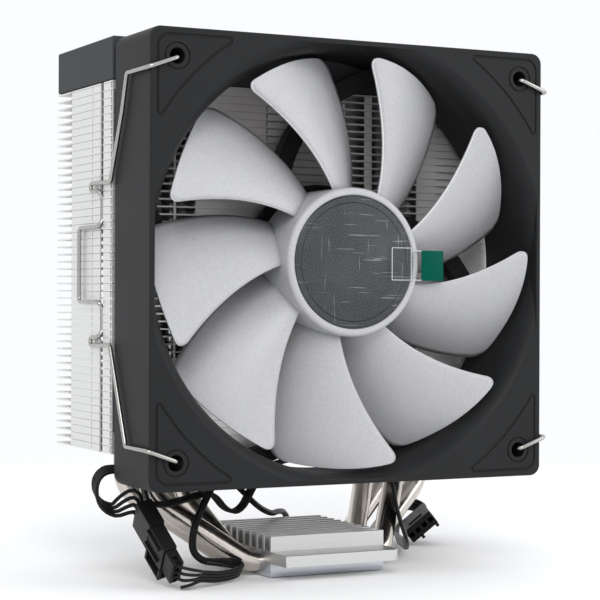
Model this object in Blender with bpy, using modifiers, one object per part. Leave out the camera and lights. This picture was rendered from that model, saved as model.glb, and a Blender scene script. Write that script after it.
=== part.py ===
"""CPU tower cooler: finned tower on four heat pipes with a 120 mm fan held by two wire clips.

Metres, +Z up. The origin is the centre of the contact face under the base, and the fan
faces -Y. Every sub-part is one object, named for what it is.
"""
import math

import bmesh
import bpy
from mathutils import Matrix, Vector
from mathutils.geometry import interpolate_bezier

MM = 0.001
TOUCH = 0.3 * MM            # clearance between pieces that touch or fit together

# Fin stack
STACK_WIDTH = 120 * MM
STACK_DEPTH = 44 * MM
STACK_HEIGHT = 100.6 * MM
STACK_BOTTOM = 34.3 * MM
STACK_FRONT = -8.55 * MM
FIN_COUNT = 17              # each plate stands for three fins of the real pitch
FIN_THICK = 1.2 * MM
WALL_THICK = 0.5 * MM       # folded edges that close most of the stack's two sides
SIDE_WALL_DEPTH = 32 * MM
GROOVE_SETBACK = 7.9 * MM   # clip groove, from the stack's front face to its middle
GROOVE_WIDTH = 2.2 * MM
GROOVE_DEPTH = 1.4 * MM

# Top cover
COVER_HEIGHT = 11.7 * MM
COVER_WALL = 1.6 * MM

# Fan frame
FAN_SIZE = 120 * MM
FAN_DEPTH = 25 * MM
FAN_DROP = 8 * MM           # how far the frame hangs below the lowest fin
FAN_CORNER = 3 * MM
BORE_WALL = 2.4 * MM
FLARE_EXTRA = 4.4 * MM      # how much wider the inlet is than the bore
FLARE_DEPTH = 8 * MM
FLARE_STEPS = 5
RIM_WALL = 1.4 * MM
HOLE_INSET = 7.5 * MM
HOLE_D = 4.3 * MM
PAD_THICK = 1.1 * MM
PAD_WIDTH = 8.5 * MM
PAD_HEIGHT = 14 * MM
PAD_RISE = 39 * MM
NOTCH_WIDTH = 9.5 * MM      # wire exit in the lower left back edge
NOTCH_DEPTH = 3.5 * MM
NOTCH_HEIGHT = 4.6 * MM
NOTCH_INSET = 3.4 * MM
STRUT_COUNT = 4
STRUT_WIDTH = 5 * MM
STRUT_THICK = 3.6 * MM
STRUT_START = math.radians(38)
STRUT_TWIST = math.radians(-60)
STRUT_POINTS = 9

# Motor, as depths behind the frame's front face
HUB_R = 20.25 * MM
HUB_WALL = 1.3 * MM
HUB_LIP = 2.05 * MM
LIP_DEPTH = 0.5 * MM
DISC_SEAT_DEPTH = 1.8 * MM
HUB_FRONT_THICK = 1.2 * MM
HUB_END_DEPTH = 19.5 * MM
YOKE_WALL = 0.8 * MM
YOKE_END_DEPTH = 18.5 * MM
MAGNET_THICK = 1.8 * MM
MAGNET_LENGTH = 12 * MM
AIR_GAP = 0.5 * MM
SHAFT_R = 1.5 * MM
SLEEVE_WALL = 2 * MM
TUBE_WALL = 1.1 * MM
TUBE_TOP_DEPTH = 8 * MM
SLEEVE_TOP_DEPTH = 8.4 * MM
SLEEVE_END_DEPTH = 19.2 * MM
CLIP_RING_DEPTH = 20.2 * MM
CLIP_RING_THICK = 0.6 * MM
CLIP_RING_R = 2.9 * MM
CLIP_GROOVE = 0.4 * MM
THRUST_PAD_THICK = 0.4 * MM
THRUST_PAD_DEPTH = 22.2 * MM
BASE_DISC_OVERHANG = 1.75 * MM
BASE_DISC_TOP = 21 * MM
BASE_DISC_END = 24.2 * MM
LABEL_THICK = 0.4 * MM
CORE_TOP_DEPTH = 8.5 * MM
CORE_LENGTH = 7 * MM
CORE_RING = 2.5 * MM
CORE_NECK = 6 * MM
CORE_SLOT = 2.4 * MM
POLES = 4
SHOE_THICK = 2.5 * MM
COIL_THICK = 1.8 * MM
PCB_TOP_DEPTH = 18.2 * MM
PCB_THICK = 1.2 * MM
LED_WIDTH = 3.5 * MM
LED_LENGTH = 2.8 * MM
LED_HEIGHT = 1.4 * MM
LED_INSET = 1.4 * MM

# Blades
BLADES = 9
TIP_CLEARANCE = 1.3 * MM
BLADE_THICK = 1.2 * MM
BLADE_ROOT_SINK = 0.8 * MM
BLADE_ROWS = 6
BLADE_COLUMNS = 5
CAMBER_POWER = 1.65

# Film over the hub's disc, with its pull tab
FILM_THICK = 0.2 * MM
FILM_INSET = 0.6 * MM
TAB_REACH = 7.4 * MM
TAB_WIDTH = 8.3 * MM
TAB_DROP = 0.75 * MM

# Base and heat pipes
BASE_WIDTH = 35.4 * MM
BASE_LENGTH = 39.5 * MM
BASE_WEB = 0.8 * MM
PIPE_ROOF = 0.5 * MM
RIB_COUNT = 10
RIB_THICK = 1.4 * MM
SLOT_DEPTH = 4.3 * MM
FLANGE_REACH = 9.5 * MM
FLANGE_THICK = 3.15 * MM
FLANGE_CHAMFER = 1.5 * MM
PIPE_D = 6 * MM
PIPE_FLAT = 1 * MM          # how much a pipe is pressed flat inside the base
PIPE_SPREAD = 0.3 * MM      # how much each side of it then bulges
PIPE_WALL = 0.8 * MM
PIPE_COUNT = 4
PIPE_OUTER_INSET = 14 * MM  # in from the side of the fins to an outer pipe
PIPE_INNER_INSET = 28 * MM  # and to an inner one
PIPE_FIRST_Y = 0 * MM
PIPE_STEP_Y = 9 * MM
PIPE_LEAVE = 3.3 * MM       # straight run outside the base before the first bend
PIPE_KNEE_Z = 22 * MM
PIPE_KNEE_R = 11 * MM
PIPE_BEND_R = 7 * MM
PIPE_TIP_ROOM = 2.5 * MM

# Wire clips, as distances from the fan's axis and behind the frame's front face
WIRE_D = 1.2 * MM
STANDOFF = 1.0 * MM
TIP_LENGTH = 1.2 * MM
TIP_INSET = 0.4 * MM
CLIP_TOP = 49 * MM
CLIP_SHOULDER_DEPTH = 13.8 * MM
CLIP_ELBOW_DEPTH = 17 * MM
CLIP_ELBOW = 39.5 * MM
HOOK = 21 * MM
HOOK_LOW = 22.6 * MM
HOOK_REACH = 15.4 * MM
HOOK_GAP = 1.8 * MM
LOOP = 9.4 * MM
LOOP_LOW = 11 * MM
LOOP_REACH = 24 * MM
STEP_IN = 2 * MM             # height over which the wire dips into its groove
WIRE_BEND = 1.3 * MM

# Leads and their connectors
LEAD_D = 2.4 * MM
PLUG_WIDTH = 10.5 * MM
PLUG_THICK = 4.5 * MM
LIGHT_PLUG_LENGTH = 12 * MM
LIGHT_SOCKET_LENGTH = 8.7 * MM
LATCH_WIDTH = 4.4 * MM
LATCH_THICK = 0.9 * MM
LIGHT_PLUG_CORNER = Vector((-56, -16.6, 21.9)) * MM
LIGHT_PLUG_AIM = Vector((0.194, -0.693, -0.695))
LIGHT_PLUG_FACE = Vector((0.965, 0.008, 0.262))
POWER_PLUG_FACE = Vector((54.1, 20.8, 5.4)) * MM
POWER_PLUG_AIM = Vector((0.366, 0.924, 0.106))
POWER_PLUG_UP = Vector((-0.579, 0.294, 0.760))
POWER_PLUG_LENGTH = 12 * MM
POWER_PLUG_WIDTH = 10 * MM
POWER_PLUG_THICK = 4.7 * MM
KEY_RIB = 1 * MM
KEY_RIB_LENGTH = 9 * MM
KEY_RIB_INNER = 1.4 * MM    # places of the two ribs across the plug
KEY_RIB_OUTER = -4.3 * MM
HEADER_PLUG_PLACE = Vector((30.5, 53.5, 2.7)) * MM
HEADER_PLUG_AIM = Vector((-0.8, 0.6, 0))
HEADER_PLUG_LENGTH = 9 * MM
HEADER_PLUG_WIDTH = 7 * MM
HEADER_PLUG_THICK = 4.6 * MM

# Places worked out from the sizes above
STACK_TOP = STACK_BOTTOM + STACK_HEIGHT
STACK_BACK = STACK_FRONT + STACK_DEPTH
FAN_BACK = STACK_FRONT - PAD_THICK - 2 * TOUCH
FAN_FRONT = FAN_BACK - FAN_DEPTH
FAN_AXIS_Z = STACK_BOTTOM - FAN_DROP + FAN_SIZE / 2
HOLE_PLACE = FAN_SIZE / 2 - HOLE_INSET
BORE_R = FAN_SIZE / 2 - BORE_WALL
TIP_R = BORE_R - TIP_CLEARANCE
GROOVE_Y = STACK_FRONT + GROOVE_SETBACK
DISC_R = HUB_R - HUB_LIP
YOKE_R = HUB_R - HUB_WALL - TOUCH
MAGNET_R = YOKE_R - YOKE_WALL - TOUCH
CORE_R = MAGNET_R - MAGNET_THICK - AIR_GAP
SLEEVE_R = SHAFT_R + TOUCH + SLEEVE_WALL
TUBE_HOLE_R = SLEEVE_R + TOUCH
TUBE_R = TUBE_HOLE_R + TUBE_WALL
CORE_HOLE_R = TUBE_R + TOUCH
CORE_HUB_R = CORE_HOLE_R + CORE_RING
BASE_DISC_R = HUB_R + BASE_DISC_OVERHANG
PIPE_FLAT_HEIGHT = PIPE_D - PIPE_FLAT
PIPE_FLAT_WIDTH = PIPE_D + 2 * PIPE_SPREAD
PIPE_PITCH = PIPE_FLAT_WIDTH + 2 * TOUCH + PIPE_WALL
PIPE_Z = BASE_WEB + TOUCH + PIPE_FLAT_HEIGHT / 2
BLOCK_BOTTOM = PIPE_Z + TOUCH / 2
BLOCK_TOP = PIPE_Z + PIPE_FLAT_HEIGHT / 2 + TOUCH + PIPE_ROOF + SLOT_DEPTH
COVER_BOTTOM = STACK_TOP + TOUCH
COVER_TOP = COVER_BOTTOM + COVER_HEIGHT
PIPE_TOP = COVER_TOP - COVER_WALL - PIPE_TIP_ROOM

# Routes of the three leads, chosen by hand, in millimetres
LIGHT_ROUTE = [
    (-54.3, -12.4, 28.7), (-54.5, -8.6, 29.2), (-57.2, -6.4, 30.0), (-60.7, -6.1, 29.8),
    (-63.2, -6.4, 27.8), (-63.8, -6.8, 24.4), (-62.1, -6.9, 20.9), (-58.6, -7.0, 19.2),
    (-55.4, -7.9, 20.8), (-53.7, -9.9, 21.5), (-53.0, -12.46, 19.33),
]
POWER_ROUTE = [
    (-50.4, -12.4, 28.7), (-50.3, -9.0, 27.8), (-50.0, -7.4, 24.2), (-48.2, -7.2, 20.6),
    (-43.9, -7.2, 20.0), (-39.4, -7.2, 20.8), (-35.0, -7.2, 21.7), (-31.6, -6.9, 22.5),
    (-28.6, -6.2, 21.4), (-25.3, -5.5, 18.1), (-22.2, -5.2, 16.8), (-19.6, -5.2, 18.2),
    (-17.2, -5.2, 22.0), (-14.4, -5.0, 26.4), (-10.2, -4.6, 29.2), (-4.0, -3.8, 30.5),
    (4.0, -2.6, 30.8), (12.0, -1.8, 30.6), (18.4, -3.2, 30.0), (23.2, -5.6, 28.6),
    (25.8, -8.0, 25.4), (26.8, -9.3, 21.2), (27.6, -9.8, 16.2), (29.4, -9.5, 11.2),
    (32.6, -6.6, 7.0), (36.0, -0.8, 4.4), (39.6, 6.4, 3.0), (43.6, 14.8, 2.2), (48.2, 26.0, 2.2),
    (51.4, 32.0, 3.2), (54.8, 37.4, 5.4), (58.6, 41.8, 8.2), (62.4, 44.2, 9.8),
    (65.8, 44.0, 9.2), (66.2, 40.8, 8.0), (62.8, 37.4, 7.2), (58.84, 32.48, 6.72),
]
CONTROLLER_ROUTE = [
    (-48.64, -28.05, 3.69), (-48.0, -29.7, 3.4), (-45.4, -30.2, 3.2), (-41.6, -28.2, 3.0),
    (-36.5, -25.6, 2.2), (-30.4, -22.4, 2.1), (-26.2, -18.8, 2.6), (-26.4, -15.0, 3.8),
    (-30.2, -13.2, 4.3), (-34.6, -12.4, 4.9), (-37.2, -12.0, 7.4), (-37.4, -11.8, 11.2),
    (-36.0, -11.4, 15.8), (-33.8, -11.0, 20.0), (-31.6, -10.0, 23.2), (-29.0, -8.4, 25.8),
    (-25.8, -6.9, 26.9), (-22.4, -4.6, 25.2), (-17.8, -1.4, 22.0), (-12.8, 2.8, 18.6),
    (-6.8, 8.8, 15.4), (-0.6, 14.8, 13.2), (4.8, 20.6, 12.9), (9.0, 25.8, 11.6),
    (12.4, 30.6, 8.8), (15.6, 35.0, 4.8), (19.6, 38.4, 1.8), (25.4, 40.8, 1.6),
    (32.4, 43.2, 1.6), (36.8, 49.6, 1.6), (36.0, 57.6, 1.6), (30.6, 63.0, 1.6),
    (22.6, 64.0, 1.6), (15.4, 60.4, 1.6), (12.2, 53.4, 1.6), (14.6, 47.0, 1.6),
    (20.6, 44.4, 1.6), (26.6, 45.0, 1.6), (31.2, 47.6, 1.7), (33.0, 50.4, 2.2),
    (31.45, 52.8, 2.7),
]
ROUTE_SPACING = 6.5 * MM
LIGHT_SPACING = 3.8 * MM


def clear_scene():
    for obj in list(bpy.data.objects):
        bpy.data.objects.remove(obj, do_unlink=True)


def new_collection(name):
    collection = bpy.data.collections.new(name)
    bpy.context.scene.collection.children.link(collection)
    return collection


clear_scene()
PARTS = new_collection("cpu_tower_cooler")
CUTTERS = new_collection("cutters")


def material(name, colour, roughness, metallic=0.0):
    made = bpy.data.materials.new(name)
    made.use_nodes = True
    shader = made.node_tree.nodes["Principled BSDF"]
    shader.inputs["Base Color"].default_value = (*colour, 1.0)
    shader.inputs["Roughness"].default_value = roughness
    shader.inputs["Metallic"].default_value = metallic
    return made


ALUMINIUM = material("fin_aluminium", (0.80, 0.80, 0.79), 0.35, 1.0)
MILLED = material("milled_aluminium", (0.72, 0.72, 0.71), 0.32, 1.0)
NICKEL = material("nickel_plate", (0.55, 0.51, 0.46), 0.22, 1.0)
COPPER = material("copper", (0.72, 0.38, 0.24), 0.3, 1.0)
STEEL = material("spring_steel", (0.62, 0.62, 0.60), 0.25, 1.0)
BRONZE = material("bearing_bronze", (0.55, 0.40, 0.22), 0.4, 1.0)
FERRITE = material("magnet_ferrite", (0.08, 0.08, 0.08), 0.7)
BLACK_PLASTIC = material("black_plastic", (0.03, 0.03, 0.032), 0.55)
DARK_COVER = material("cover_plastic", (0.05, 0.05, 0.053), 0.5)
WHITE_PLASTIC = material("frosted_blade_plastic", (0.62, 0.62, 0.64), 0.4)
SLATE = material("hub_disc_slate", (0.09, 0.11, 0.12), 0.35)
FILM = material("clear_film", (0.55, 0.62, 0.62), 0.1)
RUBBER = material("damping_rubber", (0.05, 0.05, 0.05), 0.85)
BOARD = material("circuit_board", (0.03, 0.14, 0.07), 0.5)
LAMP = material("led_body", (0.85, 0.84, 0.75), 0.4)
LABEL = material("label_foil", (0.5, 0.5, 0.5), 0.45)
WIRE_SKIN = material("lead_insulation", (0.02, 0.02, 0.02), 0.5)
SOFT_PAD = material("thrust_pad_nylon", (0.7, 0.68, 0.6), 0.5)


def empty(name, location, turn=None):
    made = bpy.data.objects.new(name, None)
    made.location = location
    if turn is not None:
        made.rotation_euler = turn
    PARTS.objects.link(made)
    return made


# Fan pieces are made about the fan's axis: local +Z points out of the fan's front, so a
# depth behind the front face is a negative z.
FAN_TURN = (math.radians(90), 0, 0)
FAN_PLACE = (0, FAN_FRONT, FAN_AXIS_Z)
fan_origin = empty("fan_origin", FAN_PLACE, FAN_TURN)
rotor_axis = empty("rotor_axis", FAN_PLACE, FAN_TURN)


def finish(obj, skin, parent=None, matrix=None, smooth=False):
    """Put an object among the parts, with its material and its place."""
    PARTS.objects.link(obj)
    obj.data.materials.append(skin)
    if matrix is not None:
        obj.matrix_world = matrix
    if parent is not None:
        obj.parent = parent
    if smooth:
        obj.data.shade_smooth()
        obj.data.set_sharp_from_angle(angle=math.radians(35))
    return obj


def as_cutter(obj, parent=None, matrix=None):
    """Keep an object out of the model: it only shapes another one."""
    CUTTERS.objects.link(obj)
    obj.hide_render = True
    obj.display_type = "WIRE"
    if matrix is not None:
        obj.matrix_world = matrix
    if parent is not None:
        obj.parent = parent
    return obj


def combine(target, tool, operation):
    step = target.modifiers.new(f"{operation.title()} {tool.name}", "BOOLEAN")
    step.operation = operation
    step.solver = "EXACT"
    step.object = tool


def box_mesh(name, size, centre):
    shape = bmesh.new()
    place = Matrix.Translation(centre) @ Matrix.Diagonal((*size, 1.0))
    bmesh.ops.create_cube(shape, size=1.0, matrix=place)
    mesh = bpy.data.meshes.new(name)
    shape.to_mesh(mesh)
    shape.free()
    return bpy.data.objects.new(name, mesh)


def box_between(name, low, high):
    low, high = Vector(low), Vector(high)
    return box_mesh(name, high - low, (low + high) / 2)


def rod_mesh(name, radius, top, bottom, centre=(0, 0), sides=32):
    """A round rod along local Z, from top down to bottom."""
    shape = bmesh.new()
    place = Matrix.Translation((*centre, (top + bottom) / 2))
    bmesh.ops.create_cone(shape, cap_ends=True, segments=sides, radius1=radius,
                          radius2=radius, depth=top - bottom, matrix=place)
    mesh = bpy.data.meshes.new(name)
    shape.to_mesh(mesh)
    shape.free()
    return bpy.data.objects.new(name, mesh)


def turned(name, profile, steps, closed=True):
    """Turn a profile of (radius, z) points about local Z."""
    mesh = bpy.data.meshes.new(name)
    ends = len(profile)
    edges = [(i, i + 1) for i in range(ends - 1)]
    if closed:
        edges.append((ends - 1, 0))
    mesh.from_pydata([(radius, 0, z) for radius, z in profile], edges, [])
    obj = bpy.data.objects.new(name, mesh)
    screw = obj.modifiers.new("Turn", "SCREW")
    screw.axis = "Z"
    screw.angle = math.tau
    screw.steps = steps
    screw.render_steps = steps
    screw.use_merge_vertices = True
    screw.merge_threshold = 0.00001
    screw.use_smooth_shade = True
    return obj


def ring(name, outer, inner, top, bottom, steps=32):
    """A turned ring; its profile runs down its outer side."""
    return turned(name, [(inner, top), (outer, top), (outer, bottom), (inner, bottom)], steps)


def curve_tube(name, points, diameter, resolution=2):
    data = bpy.data.curves.new(name, "CURVE")
    data.dimensions = "3D"
    data.bevel_depth = diameter / 2
    data.bevel_resolution = resolution
    data.use_fill_caps = True
    spline = data.splines.new("POLY")
    spline.points.add(len(points) - 1)
    for knot, point in zip(spline.points, points):
        knot.co = (*point, 1.0)
    return bpy.data.objects.new(name, data)


def flat_outline(name, points, thickness):
    """A closed outline in local XY, with half its thickness on each side of z = 0."""
    data = bpy.data.curves.new(name, "CURVE")
    data.dimensions = "2D"
    data.fill_mode = "BOTH"
    data.extrude = thickness / 2
    spline = data.splines.new("POLY")
    spline.points.add(len(points) - 1)
    for knot, (x, y) in zip(spline.points, points):
        knot.co = (x, y, 0, 1.0)
    spline.use_cyclic_u = True
    return bpy.data.objects.new(name, data)


def as_mesh(curve, shift=(0, 0, 0)):
    """The closed mesh of a curve object, moved by shift; the curve is removed."""
    bpy.context.scene.collection.objects.link(curve)
    ready = curve.evaluated_get(bpy.context.evaluated_depsgraph_get())
    mesh = bpy.data.meshes.new_from_object(ready)
    shape = bmesh.new()
    shape.from_mesh(mesh)
    bmesh.ops.remove_doubles(shape, verts=shape.verts, dist=0.000001)
    bmesh.ops.translate(shape, verts=shape.verts, vec=shift)
    shape.to_mesh(mesh)
    shape.free()
    name = curve.name
    matrix = curve.matrix_world.copy()
    bpy.data.objects.remove(curve, do_unlink=True)
    mesh.materials.clear()
    made = bpy.data.objects.new(name, mesh)
    made.matrix_world = matrix
    return made


def rounded(points, radius, steps=3):
    """Round each inner corner of a polyline with an arc of at most the given radius."""
    result = [points[0]]
    for before, corner, after in zip(points, points[1:], points[2:]):
        back, ahead = before - corner, after - corner
        turn = math.pi - back.angle(ahead)
        if turn < 0.02:
            result.append(corner)
            continue
        room = min(back.length, ahead.length) * 0.49
        reach = min(radius * math.tan(turn / 2), room)
        arc_radius = reach / math.tan(turn / 2)
        middle = (back.normalized() + ahead.normalized()).normalized()
        centre = corner + middle * math.hypot(arc_radius, reach)
        start = (corner + back.normalized() * reach - centre).normalized()
        end = (corner + ahead.normalized() * reach - centre).normalized()
        result += [centre + arc_radius * start.slerp(end, i / steps) for i in range(steps + 1)]
    result.append(points[-1])
    return result


def smooth_route(route, spacing):
    """Evenly spaced points on a smooth curve through a route given in millimetres."""
    knots = [Vector(point) * MM for point in route]
    padded = [2 * knots[0] - knots[1]] + knots + [2 * knots[-1] - knots[-2]]
    dense = []
    for a, b, c, d in zip(padded, padded[1:], padded[2:], padded[3:]):
        dense += interpolate_bezier(b, b + (c - a) / 6, c - (d - b) / 6, c, 12)[:-1]
    dense.append(knots[-1])
    total = sum((b - a).length for a, b in zip(dense, dense[1:]))
    count = max(2, round(total / spacing))
    result, walked, index = [dense[0]], 0.0, 0
    for step in range(1, count):
        target = total * step / count
        while walked + (dense[index + 1] - dense[index]).length < target:
            walked += (dense[index + 1] - dense[index]).length
            index += 1
        part = dense[index + 1] - dense[index]
        result.append(dense[index] + part * ((target - walked) / part.length))
    result.append(dense[-1])
    return result


# ---------------------------------------------------------------- base and heat pipes
def pipe_row(index):
    """Y of a pipe inside the base."""
    return (index - (PIPE_COUNT - 1) / 2) * PIPE_PITCH


def pipe_stand(index, side):
    """X and Y where a pipe passes through the fins: outer on one side, inner on the other."""
    outer = (index % 2 == 0) == (side < 0)
    inset = PIPE_OUTER_INSET if outer else PIPE_INNER_INSET
    return side * (STACK_WIDTH / 2 - inset), PIPE_FIRST_Y + index * PIPE_STEP_Y


def pipe_route(index):
    row = pipe_row(index)
    half = []
    leave = BASE_WIDTH / 2 + PIPE_LEAVE
    for side in (-1, 1):
        x, y = pipe_stand(index, side)
        corner = Vector((side * leave, row, PIPE_Z))
        start = Vector((0, row, PIPE_Z))
        knee = Vector((x, y, PIPE_KNEE_Z))
        top = Vector((x, y, PIPE_TOP))
        bent = rounded([start, corner, (corner + knee) / 2], PIPE_BEND_R)
        risen = rounded([(corner + knee) / 2, knee, top], PIPE_KNEE_R)
        half.append(bent[1:-1] + risen[1:])
    return half[0][::-1] + half[1]


def squeeze_in_base(mesh, row):
    """Press a pipe flat where it lies in the base, easing back to round outside it."""
    for vertex in mesh.vertices:
        if vertex.co.z > PIPE_Z + PIPE_D:
            continue
        outside = abs(vertex.co.x) - BASE_WIDTH / 2
        ease = min(max(1 - outside / PIPE_LEAVE, 0.0), 1.0)
        vertex.co.z = PIPE_Z + (vertex.co.z - PIPE_Z) * (1 - ease * PIPE_FLAT / PIPE_D)
        vertex.co.y = row + (vertex.co.y - row) * (1 + ease * 2 * PIPE_SPREAD / PIPE_D)


def make_pipes():
    for index in range(PIPE_COUNT):
        tube = curve_tube(f"heat_pipe_{index + 1}", pipe_route(index), PIPE_D)
        pipe = as_mesh(tube)
        squeeze_in_base(pipe.data, pipe_row(index))
        finish(pipe, NICKEL, smooth=True)


def pipe_channel(index):
    """Cutter for the pressed stretch of one pipe."""
    width = PIPE_FLAT_WIDTH + 2 * TOUCH
    height = PIPE_FLAT_HEIGHT + 2 * TOUCH
    shape = bmesh.new()
    stretch = Matrix.Diagonal((1, width / 2, height / 2, 1))
    place = Matrix.Translation((0, pipe_row(index), PIPE_Z)) @ stretch
    lay_down = Matrix.Rotation(math.radians(90), 4, "Y")
    bmesh.ops.create_cone(shape, cap_ends=True, segments=12, radius1=1, radius2=1,
                          depth=BASE_WIDTH * 1.2, matrix=place @ lay_down)
    mesh = bpy.data.meshes.new(f"pipe_channel_{index + 1}")
    shape.to_mesh(mesh)
    shape.free()
    return as_cutter(bpy.data.objects.new(mesh.name, mesh))


def make_base():
    half_x, half_y = BASE_WIDTH / 2, BASE_LENGTH / 2
    plate = box_between("base_plate", (-half_x, -half_y, 0), (half_x, half_y, PIPE_Z - TOUCH / 2))
    finish(plate, COPPER)
    reach = half_y + FLANGE_REACH
    outline = [(-half_x, -reach), (half_x - FLANGE_CHAMFER, -reach),
               (half_x, -reach + FLANGE_CHAMFER), (half_x, reach - FLANGE_CHAMFER),
               (half_x - FLANGE_CHAMFER, reach), (-half_x, reach)]
    block = as_mesh(flat_outline("base_block", outline, BLOCK_TOP - BLOCK_BOTTOM),
                    (0, 0, (BLOCK_TOP + BLOCK_BOTTOM) / 2))
    finish(block, MILLED)
    for name, side in (("front_flange_cut", -1), ("rear_flange_cut", 1)):
        cut = box_mesh(name, (2 * BASE_WIDTH, 2 * FLANGE_REACH, 2 * BLOCK_TOP),
                       (0, side * (half_y + FLANGE_REACH),
                        BLOCK_BOTTOM + FLANGE_THICK + BLOCK_TOP))
        combine(block, as_cutter(cut), "DIFFERENCE")
    for index in range(PIPE_COUNT):
        channel = pipe_channel(index)
        combine(plate, channel, "DIFFERENCE")
        combine(block, channel, "DIFFERENCE")
    pitch = (BASE_LENGTH - RIB_THICK) / (RIB_COUNT - 1)
    slot_half = (pitch - RIB_THICK) / 2
    for index in range(RIB_COUNT - 1):
        middle = -half_y + RIB_THICK / 2 + (index + 0.5) * pitch
        slot = box_between(f"rib_slot_{index + 1}",
                           (-BASE_WIDTH, middle - slot_half, BLOCK_TOP - SLOT_DEPTH),
                           (BASE_WIDTH, middle + slot_half, BLOCK_TOP + SLOT_DEPTH))
        combine(block, as_cutter(slot), "DIFFERENCE")


# ---------------------------------------------------------------- fin stack and cover
def make_stack():
    half = STACK_WIDTH / 2
    stack = box_between("fin_stack", (-half, STACK_FRONT, STACK_BOTTOM),
                        (half, STACK_BACK, STACK_BOTTOM + FIN_THICK))
    finish(stack, ALUMINIUM)
    fins = stack.modifiers.new("Fins", "ARRAY")
    fins.count = FIN_COUNT
    fins.use_relative_offset = False
    fins.use_constant_offset = True
    fins.constant_offset_displace = (0, 0, (STACK_HEIGHT - FIN_THICK) / (FIN_COUNT - 1))
    walls = [
        ("left_wall", -half, -half + WALL_THICK),
        ("right_wall", half - WALL_THICK, half),
    ]
    for name, left, right in walls:
        wall = box_between(name, (left, STACK_FRONT, STACK_BOTTOM),
                           (right, STACK_FRONT + SIDE_WALL_DEPTH, STACK_TOP))
        combine(stack, as_cutter(wall), "UNION")
    places = [pipe_stand(index, side) for index in range(PIPE_COUNT) for side in (-1, 1)]
    inside = PIPE_D / 2 + TOUCH
    for number, (x, y) in enumerate(places, 1):
        hole = box_between(f"pipe_hole_{number}", (x - inside, y - inside, STACK_BOTTOM - inside),
                           (x + inside, y + inside, STACK_TOP + inside))
        combine(stack, as_cutter(hole), "DIFFERENCE")
    for side in (-1, 1):
        groove = box_mesh("clip_groove", (2 * GROOVE_DEPTH, GROOVE_WIDTH, 2 * STACK_HEIGHT),
                          (side * half, GROOVE_Y, STACK_BOTTOM + STACK_HEIGHT / 2))
        combine(stack, as_cutter(groove), "DIFFERENCE")


def make_cover():
    half = STACK_WIDTH / 2
    cover = box_between("top_cover", (-half, STACK_FRONT, COVER_BOTTOM),
                        (half, STACK_BACK, COVER_TOP))
    shape = bmesh.new()
    shape.from_mesh(cover.data)
    floor = [face for face in shape.faces if face.normal.z < -0.5]
    bmesh.ops.delete(shape, geom=floor, context="FACES_ONLY")
    shape.to_mesh(cover.data)
    shape.free()
    finish(cover, DARK_COVER)
    shell = cover.modifiers.new("Wall", "SOLIDIFY")
    shell.thickness = COVER_WALL
    shell.offset = -1
    shell.use_even_offset = True


# ---------------------------------------------------------------- fan frame
def arc(centre, radius, start, end, steps):
    angles = [start + (end - start) * i / steps for i in range(steps + 1)]
    return [(centre[0] + radius * math.cos(a), centre[1] + radius * math.sin(a)) for a in angles]


def rounded_square(size, radius, steps=4):
    reach = size / 2 - radius
    points = []
    for quarter in range(4):
        angle = quarter * math.pi / 2
        sign_x = 1 if quarter in (0, 3) else -1
        sign_y = 1 if quarter in (0, 1) else -1
        points += arc((sign_x * reach, sign_y * reach), radius, angle, angle + math.pi / 2, steps)
    return points


def strut_outline(index):
    """A strut sweeps round the axis by the same angle for each step outwards."""
    start = STRUT_START + index * math.tau / STRUT_COUNT
    inner, outer = BASE_DISC_R - STRUT_WIDTH / 2, BORE_R + BORE_WALL / 3
    near, far = [], []
    for step in range(STRUT_POINTS):
        share = step / (STRUT_POINTS - 1)
        radius = inner + (outer - inner) * share
        angle = start + STRUT_TWIST * share
        slope = STRUT_TWIST * radius / (outer - inner)
        normal = angle + math.pi / 2 + math.atan(slope)
        x, y = radius * math.cos(angle), radius * math.sin(angle)
        dx, dy = math.cos(normal) * STRUT_WIDTH / 2, math.sin(normal) * STRUT_WIDTH / 2
        near.append((x + dx, y + dy))
        far.append((x - dx, y - dy))
    return near + far[::-1]


def make_bore_cutter():
    """Bore with a flared inlet; flat sides keep a thin rim where the flare meets the frame."""
    deep = FAN_DEPTH + TOUCH
    flare = [(BORE_R + FLARE_EXTRA * (1 - math.sin(math.pi / 2 * i / FLARE_STEPS)),
              -FLARE_DEPTH * (1 - math.cos(math.pi / 2 * i / FLARE_STEPS)))
             for i in range(FLARE_STEPS + 1)]
    outline = [(0, TOUCH), (flare[0][0], TOUCH)] + flare + [(BORE_R, -deep), (0, -deep)]
    bore = as_cutter(turned("fan_bore", outline, 64, closed=False), parent=fan_origin)
    side = FAN_SIZE - 2 * RIM_WALL
    limit = as_cutter(box_mesh("inlet_limit", (side, side, 4 * FAN_DEPTH), (0, 0, 0)),
                      parent=fan_origin)
    combine(bore, limit, "INTERSECT")
    return bore


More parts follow.
